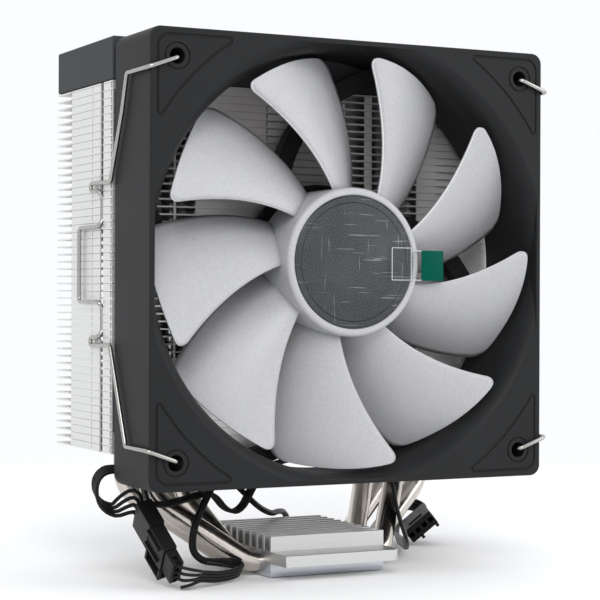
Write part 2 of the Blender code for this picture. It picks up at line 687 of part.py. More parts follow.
def make_frame():
    body = as_mesh(flat_outline("fan_frame", rounded_square(FAN_SIZE, FAN_CORNER), FAN_DEPTH),
                   (0, 0, -FAN_DEPTH / 2))
    finish(body, BLACK_PLASTIC, parent=fan_origin, smooth=True)
    combine(body, make_bore_cutter(), "DIFFERENCE")
    for index in range(STRUT_COUNT):
        strut = as_mesh(flat_outline(f"strut_{index + 1}", strut_outline(index), STRUT_THICK),
                        (0, 0, STRUT_THICK / 2 - BASE_DISC_END))
        combine(body, as_cutter(strut, parent=fan_origin), "UNION")
    seat = as_cutter(turned("motor_seat", [
        (0, -TUBE_TOP_DEPTH), (TUBE_R, -TUBE_TOP_DEPTH), (TUBE_R, -BASE_DISC_TOP),
        (BASE_DISC_R, -BASE_DISC_TOP), (BASE_DISC_R, -BASE_DISC_END), (0, -BASE_DISC_END),
    ], 32, closed=False), parent=fan_origin)
    combine(body, seat, "UNION")
    floor = THRUST_PAD_DEPTH + THRUST_PAD_THICK + TOUCH
    tube = as_cutter(rod_mesh("bearing_hole", TUBE_HOLE_R, 0, -floor, sides=24), parent=fan_origin)
    combine(body, tube, "DIFFERENCE")
    for number, (x, y) in enumerate([(-1, -1), (-1, 1), (1, -1), (1, 1)], 1):
        hole = rod_mesh(f"frame_hole_{number}", HOLE_D / 2, FAN_DEPTH, -2 * FAN_DEPTH,
                        (x * HOLE_PLACE, y * HOLE_PLACE), 16)
        combine(body, as_cutter(hole, parent=fan_origin), "DIFFERENCE")
    edge = -FAN_SIZE / 2
    notch = box_between("wire_notch", (edge + NOTCH_INSET, edge - NOTCH_HEIGHT, -2 * FAN_DEPTH),
                        (edge + NOTCH_INSET + NOTCH_WIDTH, edge + NOTCH_HEIGHT,
                         NOTCH_DEPTH - FAN_DEPTH))
    combine(body, as_cutter(notch, parent=fan_origin), "DIFFERENCE")


def make_pads():
    middle_y = (FAN_BACK + STACK_FRONT) / 2
    reach = min(FAN_SIZE, STACK_WIDTH) / 2 - TOUCH - PAD_WIDTH / 2
    names = [("pad_lower_left", -1, -1), ("pad_upper_left", -1, 1),
             ("pad_lower_right", 1, -1), ("pad_upper_right", 1, 1)]
    for name, side, level in names:
        pad = box_mesh(name, (PAD_WIDTH, PAD_THICK, PAD_HEIGHT),
                       (side * reach, middle_y, FAN_AXIS_Z + level * PAD_RISE))
        finish(pad, RUBBER)


# ---------------------------------------------------------------- rotor
def blade_point(share, chord):
    """One blade's middle surface: share runs from hub to tip, chord from lead to trail."""
    lead = math.radians(143.0 + 26.5 * share - 4.32 * share ** 2)
    trail = math.radians(109.2 + 27.9 * share - 6.9 * share ** 2 + 1.7 * share ** 3)
    lead_depth = (4.74 - 2.77 * share - 0.67 * share ** 2) * MM
    trail_depth = (17.3 - 0.8 * share - 0.4 * share ** 2) * MM
    radius = HUB_R + share * (TIP_R - HUB_R)
    angle = lead + (trail - lead) * chord
    depth = lead_depth + (trail_depth - lead_depth) * chord ** CAMBER_POWER
    return Vector((radius * math.cos(angle), radius * math.sin(angle), -depth))


def make_blade_mesh():
    shape = bmesh.new()
    bmesh.ops.create_grid(shape, x_segments=BLADE_COLUMNS, y_segments=BLADE_ROWS, size=0.5)
    root = -BLADE_ROOT_SINK / (TIP_R - HUB_R)
    for vertex in shape.verts:
        share = root + (vertex.co.y + 0.5) * (1 - root)
        vertex.co = blade_point(share, vertex.co.x + 0.5)
    mesh = bpy.data.meshes.new("blade")
    shape.to_mesh(mesh)
    shape.free()
    return mesh


def make_impeller():
    floor = DISC_SEAT_DEPTH + HUB_FRONT_THICK
    crest = (DISC_R + HUB_R) / 2
    hub = turned("impeller", [
        (0, -DISC_SEAT_DEPTH), (DISC_R, -DISC_SEAT_DEPTH), (DISC_R, -LIP_DEPTH - TOUCH),
        (DISC_R + TOUCH, -LIP_DEPTH), (crest, -LIP_DEPTH), (HUB_R, -LIP_DEPTH - (HUB_R - crest)),
        (HUB_R, -HUB_END_DEPTH), (HUB_R - HUB_WALL, -HUB_END_DEPTH),
        (HUB_R - HUB_WALL, -floor), (0, -floor),
    ], 36, closed=False)
    finish(hub, WHITE_PLASTIC, parent=rotor_axis)
    mesh = make_blade_mesh()
    for index in range(BLADES):
        blade = as_cutter(bpy.data.objects.new(f"blade_{index + 1}", mesh), parent=rotor_axis)
        blade.rotation_euler = (0, 0, -index * math.tau / BLADES)
        skin = blade.modifiers.new("Thickness", "SOLIDIFY")
        skin.thickness = BLADE_THICK
        skin.offset = 0
        combine(hub, blade, "UNION")


def make_rotor_pieces():
    seat = DISC_SEAT_DEPTH - TOUCH
    disc = rod_mesh("hub_disc", DISC_R - TOUCH, -LIP_DEPTH - TOUCH, -seat, sides=40)
    finish(disc, SLATE, parent=rotor_axis, smooth=True)
    film_r = DISC_R - FILM_INSET
    film = rod_mesh("hub_film", film_r, FILM_THICK, 0, sides=40)
    finish(film, FILM, parent=rotor_axis)
    tab = box_between("pull_tab", (film_r / 2, -TAB_WIDTH / 2 - TAB_DROP, 0),
                      (HUB_R + TAB_REACH, TAB_WIDTH / 2 - TAB_DROP, FILM_THICK))
    combine(film, as_cutter(tab, parent=rotor_axis), "UNION")
    for obj in (film, bpy.data.objects["pull_tab"]):
        obj.location = (0, 0, -FILM_THICK)
    top = DISC_SEAT_DEPTH + HUB_FRONT_THICK + TOUCH
    bore = SHAFT_R + TOUCH
    yoke = turned("rotor_yoke", [
        (bore, -top), (YOKE_R, -top), (YOKE_R, -YOKE_END_DEPTH),
        (YOKE_R - YOKE_WALL, -YOKE_END_DEPTH), (YOKE_R - YOKE_WALL, -top - YOKE_WALL),
        (bore, -top - YOKE_WALL),
    ], 36)
    finish(yoke, STEEL, parent=rotor_axis)
    magnet_end = -YOKE_END_DEPTH + 2 * TOUCH
    magnets = ring("magnet_ring", MAGNET_R, MAGNET_R - MAGNET_THICK,
                   magnet_end + MAGNET_LENGTH, magnet_end, 36)
    finish(magnets, FERRITE, parent=rotor_axis)
    groove_top = -CLIP_RING_DEPTH + TOUCH
    groove_end = -CLIP_RING_DEPTH - CLIP_RING_THICK - TOUCH
    shaft = turned("rotor_shaft", [
        (0, -top), (SHAFT_R, -top), (SHAFT_R, groove_top), (SHAFT_R - CLIP_GROOVE, groove_top),
        (SHAFT_R - CLIP_GROOVE, groove_end), (SHAFT_R, groove_end),
        (SHAFT_R, -THRUST_PAD_DEPTH + TOUCH), (0, -THRUST_PAD_DEPTH + TOUCH),
    ], 16, closed=False)
    finish(shaft, STEEL, parent=rotor_axis)
    clip = ring("shaft_clip", CLIP_RING_R, SHAFT_R - CLIP_GROOVE + TOUCH, -CLIP_RING_DEPTH,
                -CLIP_RING_DEPTH - CLIP_RING_THICK, 20)
    finish(clip, SOFT_PAD, parent=rotor_axis)


# ---------------------------------------------------------------- motor pieces in the frame
def make_stator():
    top, bottom = -CORE_TOP_DEPTH, -CORE_TOP_DEPTH - CORE_LENGTH
    core = ring("stator_core", CORE_R, CORE_R - SHOE_THICK, top, bottom, 40)
    finish(core, STEEL, parent=fan_origin)
    middle = (top + bottom) / 2
    slot_turn = math.pi / POLES
    for index in range(2):
        slot = box_mesh(f"core_slot_{index + 1}", (3 * CORE_R, CORE_SLOT, 2 * CORE_LENGTH),
                        (0, 0, middle))
        as_cutter(slot, parent=fan_origin).rotation_euler = (0, 0, slot_turn + index * math.pi / 2)
        combine(core, slot, "DIFFERENCE")
    for index in range(2):
        bar = box_mesh(f"core_neck_{index + 1}", (2 * CORE_R - SHOE_THICK, CORE_NECK, CORE_LENGTH),
                       (0, 0, middle))
        as_cutter(bar, parent=fan_origin).rotation_euler = (0, 0, index * math.pi / 2)
        combine(core, bar, "UNION")
    combine(core, as_cutter(rod_mesh("core_hub", CORE_HUB_R, top, bottom), parent=fan_origin), "UNION")
    hole = rod_mesh("core_hole", CORE_HOLE_R, 0, -FAN_DEPTH)
    combine(core, as_cutter(hole, parent=fan_origin), "DIFFERENCE")
    inner_y, inner_z = CORE_NECK / 2 + TOUCH, CORE_LENGTH / 2 + TOUCH
    near = CORE_HUB_R + TOUCH
    far = math.sqrt((CORE_R - SHOE_THICK) ** 2 - (inner_y + COIL_THICK) ** 2) - TOUCH
    for index in range(POLES):
        turn = (0, 0, index * math.tau / POLES)
        coil = box_between(f"stator_coil_{index + 1}",
                           (near, -inner_y - COIL_THICK, middle - inner_z - COIL_THICK),
                           (far, inner_y + COIL_THICK, middle + inner_z + COIL_THICK))
        finish(coil, COPPER, parent=fan_origin)
        coil.rotation_euler = turn
        window = box_between(f"coil_window_{index + 1}", (0, -inner_y, middle - inner_z),
                             (2 * far, inner_y, middle + inner_z))
        as_cutter(window, parent=fan_origin).rotation_euler = turn
        combine(coil, window, "DIFFERENCE")


def make_board():
    board = ring("fan_board", CORE_R, CORE_HOLE_R, -PCB_TOP_DEPTH, -PCB_TOP_DEPTH - PCB_THICK, 32)
    finish(board, BOARD, parent=fan_origin)
    base = -PCB_TOP_DEPTH + TOUCH
    middle = CORE_R - LED_INSET - LED_LENGTH / 2 + TOUCH
    for index in range(POLES):
        lamp = box_mesh(f"led_{index + 1}", (LED_LENGTH, LED_WIDTH, LED_HEIGHT),
                        (middle, 0, base + LED_HEIGHT / 2))
        finish(lamp, LAMP, parent=fan_origin)
        lamp.rotation_euler = (0, 0, (index + 0.5) * math.tau / POLES)


def make_bearing():
    sleeve = ring("bearing_sleeve", SLEEVE_R, SHAFT_R + TOUCH, -SLEEVE_TOP_DEPTH,
                  -SLEEVE_END_DEPTH, 24)
    finish(sleeve, BRONZE, parent=fan_origin)
    pad = rod_mesh("thrust_pad", SLEEVE_R, -THRUST_PAD_DEPTH, -THRUST_PAD_DEPTH - THRUST_PAD_THICK)
    finish(pad, SOFT_PAD, parent=fan_origin)
    top = -BASE_DISC_END - TOUCH
    label = rod_mesh("motor_label", BASE_DISC_R - BASE_DISC_OVERHANG, top, top - LABEL_THICK)
    finish(label, LABEL, parent=fan_origin, smooth=True)


# ---------------------------------------------------------------- wire clips
def clip_route(side):
    """Centreline of one clip, from its upper tip to its lower tip, about its hinge line."""
    front = FAN_FRONT - STANDOFF
    stack_x = STACK_WIDTH / 2 + STANDOFF
    outer_x = max(FAN_SIZE / 2 + STANDOFF, stack_x)
    groove_x = STACK_WIDTH / 2 - (GROOVE_DEPTH - TOUCH - WIRE_D / 2)
    back = FAN_BACK + WIRE_D / 2
    hook_y = back + HOOK_REACH - WIRE_D / 2
    loop_y = back + LOOP_REACH
    tip = HOLE_PLACE - TIP_INSET
    points = [
        (HOLE_PLACE, FAN_FRONT + TIP_LENGTH, tip), (HOLE_PLACE, front, tip),
        (outer_x, front, CLIP_TOP), (outer_x, FAN_FRONT + CLIP_SHOULDER_DEPTH, CLIP_TOP),
        (outer_x, FAN_FRONT + CLIP_ELBOW_DEPTH, CLIP_ELBOW), (outer_x, back, HOOK),
        (stack_x, hook_y, HOOK + HOOK_GAP / 4), (stack_x, hook_y, HOOK - HOOK_GAP),
        (stack_x, GROOVE_Y, HOOK - HOOK_GAP), (groove_x, GROOVE_Y, HOOK - HOOK_GAP - STEP_IN),
        (groove_x, GROOVE_Y, LOOP + STEP_IN), (stack_x, GROOVE_Y, LOOP),
        (stack_x, loop_y, LOOP), (stack_x, loop_y, -LOOP_LOW),
        (stack_x, GROOVE_Y, -LOOP_LOW), (groove_x, GROOVE_Y, -LOOP_LOW - STEP_IN),
        (groove_x, GROOVE_Y, HOOK_GAP - HOOK_LOW + STEP_IN),
        (stack_x, GROOVE_Y, HOOK_GAP - HOOK_LOW), (stack_x, hook_y, HOOK_GAP - HOOK_LOW),
        (stack_x, hook_y, -HOOK_LOW - HOOK_GAP / 4),
        (outer_x, back, -HOOK_LOW), (outer_x, FAN_FRONT + CLIP_SHOULDER_DEPTH, -CLIP_TOP),
        (outer_x, front, -CLIP_TOP), (HOLE_PLACE, front, -tip),
        (HOLE_PLACE, FAN_FRONT + TIP_LENGTH, -tip),
    ]
    hinge = Vector((HOLE_PLACE, front, 0))
    route = [Vector(point) - hinge for point in points]
    return [Vector((side * p.x, p.y, p.z)) for p in rounded(route, WIRE_BEND, 1)]


def make_clips():
    for name, side in (("clip_left", -1), ("clip_right", 1)):
        hinge = empty(f"{name}_hinge", (side * HOLE_PLACE, FAN_FRONT - STANDOFF, FAN_AXIS_Z))
        wire = as_mesh(curve_tube(name, clip_route(side), WIRE_D))
        finish(wire, STEEL, parent=hinge, smooth=True)


# ---------------------------------------------------------------- leads and connectors
def frame_of(aim, up, place):
    """Matrix whose local X is aim and whose local Z is as near up as it can be."""
    x = aim.normalized()
    z = (up - x * up.dot(x)).normalized()
    turn = Matrix((x, z.cross(x), z)).transposed().to_4x4()
    return Matrix.Translation(place) @ turn


def plug_box(name, low, high, matrix, skin):
    return finish(box_between(name, low, high), skin, matrix=matrix)


def make_light_connectors():
    """Two housings pushed together end to end: the plug, then the socket."""
    matrix = frame_of(LIGHT_PLUG_AIM, LIGHT_PLUG_FACE, LIGHT_PLUG_CORNER)
    plug = plug_box("light_plug", (0, 0, 0), (LIGHT_PLUG_LENGTH, PLUG_WIDTH, PLUG_THICK),
                    matrix, BLACK_PLASTIC)
    middle = PLUG_WIDTH / 2
    latch = box_between("latch", (LIGHT_PLUG_LENGTH / 4, middle - LATCH_WIDTH / 2, -LATCH_THICK),
                        (LIGHT_PLUG_LENGTH, middle + LATCH_WIDTH / 2, LATCH_THICK))
    combine(plug, as_cutter(latch, matrix=matrix), "UNION")
    start = LIGHT_PLUG_LENGTH + TOUCH
    plug_box("light_socket", (start, TOUCH, TOUCH),
             (start + LIGHT_SOCKET_LENGTH, PLUG_WIDTH - TOUCH, PLUG_THICK - TOUCH),
             matrix, BLACK_PLASTIC)


def make_power_plug():
    matrix = frame_of(POWER_PLUG_AIM, POWER_PLUG_UP, POWER_PLUG_FACE)
    half_w, half_t = POWER_PLUG_WIDTH / 2, POWER_PLUG_THICK / 2
    plug = plug_box("power_plug", (0, -half_w, -half_t), (POWER_PLUG_LENGTH, half_w, half_t),
                    matrix, BLACK_PLASTIC)
    for number, middle in enumerate((KEY_RIB_INNER, KEY_RIB_OUTER), 1):
        rib = box_between(f"key_rib_{number}", (0, middle - KEY_RIB / 2, -half_t - KEY_RIB),
                          (KEY_RIB_LENGTH, middle + KEY_RIB / 2, 0))
        combine(plug, as_cutter(rib, matrix=matrix), "UNION")


def make_header_plug():
    matrix = frame_of(HEADER_PLUG_AIM, Vector((0, 0, 1)), HEADER_PLUG_PLACE)
    half_w, half_t = HEADER_PLUG_WIDTH / 2, HEADER_PLUG_THICK / 2
    plug_box("header_plug", (0, -half_w, -half_t), (HEADER_PLUG_LENGTH, half_w, half_t),
             matrix, BLACK_PLASTIC)


def make_leads():
    routes = (("light_lead", LIGHT_ROUTE, LIGHT_SPACING), ("power_lead", POWER_ROUTE, ROUTE_SPACING),
              ("controller_lead", CONTROLLER_ROUTE, ROUTE_SPACING))
    for name, route, spacing in routes:
        lead = as_mesh(curve_tube(name, smooth_route(route, spacing), LEAD_D))
        finish(lead, WIRE_SKIN, smooth=True)


make_base()
make_pipes()
make_stack()
make_cover()
make_frame()
make_pads()
make_impeller()
make_rotor_pieces()
make_stator()
make_board()
make_bearing()
make_clips()
make_light_connectors()
make_power_plug()
make_header_plug()
make_leads()
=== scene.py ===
# %% [markdown]
# # CPU tower cooler
# A stack of thin fins stands on four bent heat pipes. A slotted block with a contact plate
# holds the pipes at the bottom, and a 120 mm fan is held against one side by two spring
# wires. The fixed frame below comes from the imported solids. Everything else is modelled
# round it in millimetres, in the same place: +Z is up and the fan faces -Y.

# %% Start from the fixed frame
import math

import bmesh
import bpy
from mathutils import Matrix, Vector
from mathutils.geometry import interpolate_bezier


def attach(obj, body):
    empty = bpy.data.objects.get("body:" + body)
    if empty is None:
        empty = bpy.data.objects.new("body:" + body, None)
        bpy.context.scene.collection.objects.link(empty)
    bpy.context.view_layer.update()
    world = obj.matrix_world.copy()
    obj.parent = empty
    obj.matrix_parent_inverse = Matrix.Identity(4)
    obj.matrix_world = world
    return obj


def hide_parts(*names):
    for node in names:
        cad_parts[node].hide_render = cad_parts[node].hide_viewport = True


MM = 0.001
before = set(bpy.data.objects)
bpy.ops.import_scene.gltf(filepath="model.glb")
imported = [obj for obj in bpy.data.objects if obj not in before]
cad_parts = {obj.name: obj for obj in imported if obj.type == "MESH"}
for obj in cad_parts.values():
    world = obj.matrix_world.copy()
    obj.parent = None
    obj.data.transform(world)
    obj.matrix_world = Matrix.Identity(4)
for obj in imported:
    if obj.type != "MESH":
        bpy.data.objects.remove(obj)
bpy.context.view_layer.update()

# %% [markdown]
# ## Camera
# The cooler is seen from the left of its fan, almost level with its middle. A long lens
# from half a metre keeps the fan's edges nearly parallel. A camera looks along its own -Z,
# so a quarter turn about X makes it level, and a turn about Z aims it.

# %% Camera
CAMERA_PLACE = Vector((-237.3, -470.05, 76.4)) * MM
HEADING, TILT, ROLL = (math.radians(degrees) for degrees in (-26.88, 89.95, 0.23))
camera_data = bpy.data.cameras.new("camera")
camera_data.lens = 109.88
camera_data.sensor_width = 36
camera = bpy.data.objects.new("camera", camera_data)
bpy.context.scene.collection.objects.link(camera)
aim = Matrix.Rotation(HEADING, 4, "Z") @ Matrix.Rotation(TILT, 4, "X")
camera.matrix_world = Matrix.Translation(CAMERA_PLACE) @ aim @ Matrix.Rotation(ROLL, 4, "Z")
bpy.context.scene.camera = camera
bpy.context.scene.view_settings.view_transform = "Standard"
print("camera at", [round(c, 3) for c in camera.location])

# %% [markdown]
# ## A small language for finishes
# A finish is a Principled shader with a few texture nodes in front of it. Writing those
# nodes one by one is slow to read, so one class wraps a socket and lets Python's own
# operators add the Math nodes, and another makes any other node in a single call.


# %% Shader values as Python expressions
class Flow:
    """A value on its way through a finish."""

    def __init__(self, finish, socket):
        self.finish = finish
        self.socket = socket

    def maths(self, operation, first, second):
        return self.finish.node("ShaderNodeMath", {"operation": operation}, {0: first, 1: second})

    def __add__(self, other):
        return self.maths("ADD", self, other)

    def __sub__(self, other):
        return self.maths("SUBTRACT", self, other)

    def __rsub__(self, other):
        return self.maths("SUBTRACT", other, self)

    def __mul__(self, other):
        return self.maths("MULTIPLY", self, other)

    __radd__ = __add__
    __rmul__ = __mul__


class Finish:
    """A material with a Principled shader, and the ways to feed it."""

    def __init__(self, name, colour, roughness, metallic=0.0, **constants):
        self.material = bpy.data.materials.new(name)
        self.material.use_nodes = True
        self.tree = self.material.node_tree
        self.shader = self.tree.nodes["Principled BSDF"]
        self.set("Base Color", (*colour, 1.0))
        self.set("Roughness", roughness)
        self.set("Metallic", metallic)
        for key, value in constants.items():
            self.set(key.replace("_", " ").title().replace("Ior", "IOR"), value)

    def node(self, kind, settings, inputs, output=0):
        made = self.tree.nodes.new(kind)
        for key, value in settings.items():
            setattr(made, key, value)
        for key, value in inputs.items():
            self.connect(made.inputs[key], value)
        return Flow(self, made.outputs[output])

    def connect(self, socket, value):
        if isinstance(value, Flow):
            self.tree.links.new(value.socket, socket)
        else:
            socket.default_value = value

    def set(self, name, value):
        self.connect(self.shader.inputs[name], value)

    def place(self, scale=(1, 1, 1), turn=(0, 0, 0), shift=(0, 0, 0)):
        """Object coordinates, shifted, turned and stretched."""
        spot = self.node("ShaderNodeTexCoord", {}, {}, "Object")
        return self.node("ShaderNodeMapping", {"vector_type": "POINT"},
                         {"Vector": spot, "Scale": scale, "Rotation": turn, "Location": shift})

    def noise(self, fineness, detail=3.0, **placing):
        return self.node("ShaderNodeTexNoise", {},
                         {"Vector": self.place(**placing), "Scale": fineness, "Detail": detail})

    def ramp(self, value, start, end):
        """0 below start and 1 above end."""
        return self.node("ShaderNodeMapRange", {"interpolation_type": "SMOOTHSTEP"},
                         {"Value": value, "From Min": start, "From Max": end})

    def mix(self, share, first, second):
        """A colour between two, by share."""
        first, second = (c if isinstance(c, Flow) else (*c, 1.0) for c in (first, second))
        return self.node("ShaderNodeMix", {"data_type": "RGBA"}, {0: share, 6: first, 7: second},
                         output=2)

    def bump(self, height, depth, strength=1.0):
        self.set("Normal", self.node("ShaderNodeBump", {},
                                     {"Height": height, "Distance": depth, "Strength": strength}))


# %% [markdown]
# ## Plastics
# The frame is moulded in black plastic from a spark-eroded mould, which leaves a fine even
# grain, so a very fine noise drives both the bump and a slight change of gloss. The blades
# are frosted and a little translucent: light gets into them, which subsurface scattering
# gives. Their thin edges get a much paler finish than their faces: a painted highlight.


# %% Plastics
SHEEN = 0.16


def moulded(name, colour, roughness, grain=2600.0, depth=0.00004, spread=0.1):
    """Moulded plastic with a spark-eroded grain."""
    made = Finish(name, colour, roughness, specular_ior_level=SHEEN)
    grains = made.noise(grain, 2.0)
    cloud = made.noise(45.0, 3.0)
    lighter = tuple(c * 1.35 + 0.002 for c in colour)
    made.set("Base Color", made.mix(cloud, colour, lighter))
    made.set("Roughness", roughness - spread / 2 + spread * grains)
    made.bump(grains, depth, 0.6)
    return made


frame_black = moulded("frame_black", (0.0095, 0.010, 0.0105), 0.5)
cover_grey = moulded("cover_grey", (0.029, 0.031, 0.033), 0.52)
connector_black = moulded("connector_black", (0.006, 0.006, 0.0065), 0.42, 1500.0)
wire_skin = moulded("wire_skin", (0.006, 0.006, 0.0065), 0.36, 900.0)
pad_rubber = moulded("pad_rubber", (0.018, 0.018, 0.019), 0.8, 1200.0)

blade_frost = Finish("blade_frost", (0.45, 0.45, 0.47), 0.36, subsurface_weight=0.12,
                     subsurface_scale=0.004)
streaks = blade_frost.noise(160.0, 4.0, scale=(9, 2, 9))
blade_frost.set("Base Color", blade_frost.mix(blade_frost.ramp(streaks, 0.3, 0.7),
                                              (0.385, 0.385, 0.402), (0.425, 0.425, 0.438)))
blade_frost.set("Roughness", 0.32 + 0.12 * streaks)
# A much paler colour for the blades' rim faces: a painted highlight along their thin edges.
painted_rim_highlight = Finish("painted_rim_highlight", (0.86, 0.86, 0.87), 0.3)
painted_rim_highlight.set("Roughness", 0.25 + 0.1 * painted_rim_highlight.noise(300.0))
print("plastics:", len(bpy.data.materials))

# %% [markdown]
# ## Metals
# Rolled fin sheet, milled block, drawn wire and plated tube are all bare metal, so Metallic
# is 1 and the colour is that of the reflection. Only the fins have less: light bounces so
# often between them that it comes back diffuse. What tells the metals apart is the direction
# of the tool marks: noise stretched along one axis gives the streaks, and it changes the
# gloss more than the colour.


# %% Metals
def metal(name, colour, roughness, stretch, scale=120.0, spread=0.16, tint=0.9,
          metallic=1.0):
    """Bare metal with tool marks stretched across the axes that stretch makes large."""
    made = Finish(name, colour, roughness, metallic)
    marks = made.noise(scale, 4.0, scale=stretch)
    darker = tuple(c * tint for c in colour)
    made.set("Base Color", made.mix(marks, darker, colour))
    made.set("Roughness", roughness - spread / 2 + spread * marks)
    made.bump(marks, 0.00002, 0.35)
    return made


fin_sheet = metal("fin_sheet", (0.74, 0.74, 0.725), 0.36, (1, 8, 30), tint=0.92, metallic=0.55)
milled_block = metal("milled_block", (0.64, 0.64, 0.635), 0.45, (1, 14, 14), 160.0)
plated_plate = metal("plated_plate", (0.60, 0.62, 0.67), 0.34, (2, 18, 10), 150.0)
pipe_nickel = metal("pipe_nickel", (0.66, 0.61, 0.56), 0.2, (14, 14, 1.5), 90.0, 0.14, 0.78)
clip_steel = metal("clip_steel", (0.42, 0.41, 0.39), 0.22, (4, 4, 4), 300.0, 0.1)
shaft_steel = metal("shaft_steel", (0.62, 0.62, 0.62), 0.2, (1, 20, 1))
stamped_steel = metal("stamped_steel", (0.38, 0.38, 0.39), 0.45, (6, 30, 6))
coil_copper = metal("coil_copper", (0.80, 0.40, 0.22), 0.35, (10, 60, 10))
sleeve_bronze = metal("sleeve_bronze", (0.58, 0.42, 0.24), 0.5, (8, 8, 8), 400.0)
label_foil = metal("label_foil", (0.70, 0.70, 0.71), 0.4, (3, 3, 3))
print("metals done, materials:", len(bpy.data.materials))

# %% [markdown]
# ## Hub disc, film and tab
# The hub carries a dark slate disc. A clear film lies over it, scuffed and lifting in
# places, and a green tab sticks out of it so that it can be peeled off. The scuffs are
# noise stretched thin in two directions and cut off high, which leaves short bright
# scratches. The film itself is nearly invisible: low alpha and a sharp gloss. Its cut
# edges catch the light, so they get a paler finish of their own.

# %% Disc, film and small finishes
slate = Finish("hub_slate", (0.055, 0.063, 0.068), 0.3, coat_weight=0.25, coat_roughness=0.2)
smudge = slate.noise(70.0, 5.0)
scratch_a = slate.ramp(slate.noise(70.0, 2.0, scale=(1, 1, 22), turn=(0, 0.6, 0)), 0.65, 0.71)
scratch_b = slate.ramp(slate.noise(60.0, 2.0, scale=(20, 1, 1), turn=(0, 0.35, 0)), 0.66, 0.72)
scuffs = scratch_a + scratch_b
cloudy = slate.mix(slate.ramp(smudge, 0.35, 0.75), (0.018, 0.023, 0.027), (0.046, 0.055, 0.060))
slate.set("Base Color", slate.mix(0.35 * scuffs, cloudy, (0.5, 0.52, 0.52)))
slate.set("Roughness", 0.22 + 0.25 * smudge)
slate.bump(smudge, 0.00006, 0.4)

clear_film = Finish("clear_film", (0.03, 0.034, 0.034), 0.08, alpha=0.06)
clear_film.set("Roughness", 0.05 + 0.12 * clear_film.noise(200.0))
film_edge = Finish("film_edge", (0.62, 0.65, 0.65), 0.2, alpha=0.75)
film_edge.set("Roughness", 0.15 + 0.1 * film_edge.noise(300.0))
tab_green = Finish("tab_green", (0.0, 0.07, 0.048), 0.4, specular_ior_level=0.05)
tab_green.set("Roughness", 0.3 + 0.12 * tab_green.noise(500.0))

board_green = moulded("board_green", (0.02, 0.12, 0.05), 0.4, 600.0)
lamp_cream = moulded("lamp_cream", (0.78, 0.76, 0.64), 0.35, 800.0)
ferrite = moulded("ferrite", (0.05, 0.05, 0.052), 0.65, 900.0)
nylon = moulded("nylon", (0.66, 0.64, 0.56), 0.45, 900.0)
print("finishes:", len(bpy.data.materials))


# %% [markdown]
# ## Shapes from bmesh operators
# Four helpers cover most of the cooler: a box, a turned profile, a flat outline given a
# thickness, and a round rod. Each one returns a bmesh, so shapes can be moved, joined and
# cut before they become an object.


# %% Boxes, turned profiles, plates and rods
def box(low, high, bevel=0.0, segments=2):
    """A box between two corners in millimetres, its edges rounded by bevel."""
    low, high = Vector(low) * MM, Vector(high) * MM
    shape = bmesh.new()
    place = Matrix.Translation((low + high) / 2) @ Matrix.Diagonal((*(high - low), 1.0))
    bmesh.ops.create_cube(shape, size=1.0, matrix=place)
    if bevel:
        bmesh.ops.bevel(shape, geom=shape.edges[:], offset=bevel * MM, segments=segments,
                        profile=0.5, affect="EDGES", material=-1)
    return shape


def turned(profile, steps, closed=True):
    """Turn a profile of (radius, z) points in millimetres about local Z."""
    shape = bmesh.new()
    line = [shape.verts.new((radius * MM, 0, z * MM)) for radius, z in profile]
    edges = [shape.edges.new(pair) for pair in zip(line, line[1:])]
    if closed:
        edges.append(shape.edges.new((line[-1], line[0])))
    bmesh.ops.spin(shape, geom=line + edges, cent=(0, 0, 0), axis=(0, 0, 1),
                   angle=math.tau, steps=steps, use_merge=True)
    bmesh.ops.remove_doubles(shape, verts=shape.verts, dist=1e-7)
    bmesh.ops.recalc_face_normals(shape, faces=shape.faces)
    return shape


def plate(outline, bottom, top):
    """An outline of (x, y) points in millimetres, extruded from z = bottom to z = top."""
    shape = bmesh.new()
    corners = [shape.verts.new((x * MM, y * MM, bottom * MM)) for x, y in outline]
    face = shape.faces.new(corners)
    raised = bmesh.ops.extrude_face_region(shape, geom=[face])["geom"]
    lifted = [part for part in raised if isinstance(part, bmesh.types.BMVert)]
    bmesh.ops.translate(shape, verts=lifted, vec=(0, 0, (top - bottom) * MM))
    bmesh.ops.recalc_face_normals(shape, faces=shape.faces)
    return shape


def rod(radius, bottom, top, centre=(0, 0), sides=32):
    """A round rod along local Z, in millimetres."""
    shape = bmesh.new()
    place = Matrix.Translation(Vector((*centre, (bottom + top) / 2)) * MM)
    bmesh.ops.create_cone(shape, cap_ends=True, segments=sides, radius1=radius * MM,
                          radius2=radius * MM, depth=(top - bottom) * MM, matrix=place)
    return shape


# %% Joining, moving, cutting and finishing
def joined(shapes):
    """One bmesh that holds all the shapes, which are used up."""
    whole = bmesh.new()
    for shape in shapes:
        mesh = bpy.data.meshes.new("part")
        shape.to_mesh(mesh)
        shape.free()
        whole.from_mesh(mesh)
        bpy.data.meshes.remove(mesh)
    return whole


def moved(shape, matrix):
    bmesh.ops.transform(shape, matrix=matrix, verts=shape.verts)
    return shape


def evaluated(obj):
    """The mesh of an object with its modifiers, as a bmesh; the object is removed."""
    bpy.context.scene.collection.objects.link(obj)
    ready = obj.evaluated_get(bpy.context.evaluated_depsgraph_get())
    mesh = bpy.data.meshes.new_from_object(ready)
    shape = bmesh.new()
    shape.from_mesh(mesh)
    bpy.data.objects.remove(obj)
    bpy.data.meshes.remove(mesh)
    return shape


def cut(target, tool, operation="DIFFERENCE"):
    """Boolean of two bmeshes, which are used up."""
    objects = []
    for label, shape in (("target", target), ("tool", tool)):
        mesh = bpy.data.meshes.new(label)
        shape.to_mesh(mesh)
        shape.free()
        objects.append(bpy.data.objects.new(label, mesh))
    bpy.context.scene.collection.objects.link(objects[1])
    step = objects[0].modifiers.new("cut", "BOOLEAN")
    step.operation = operation
    step.solver = "EXACT"
    step.object = objects[1]
    result = evaluated(objects[0])
    bpy.data.objects.remove(objects[1])
    return result


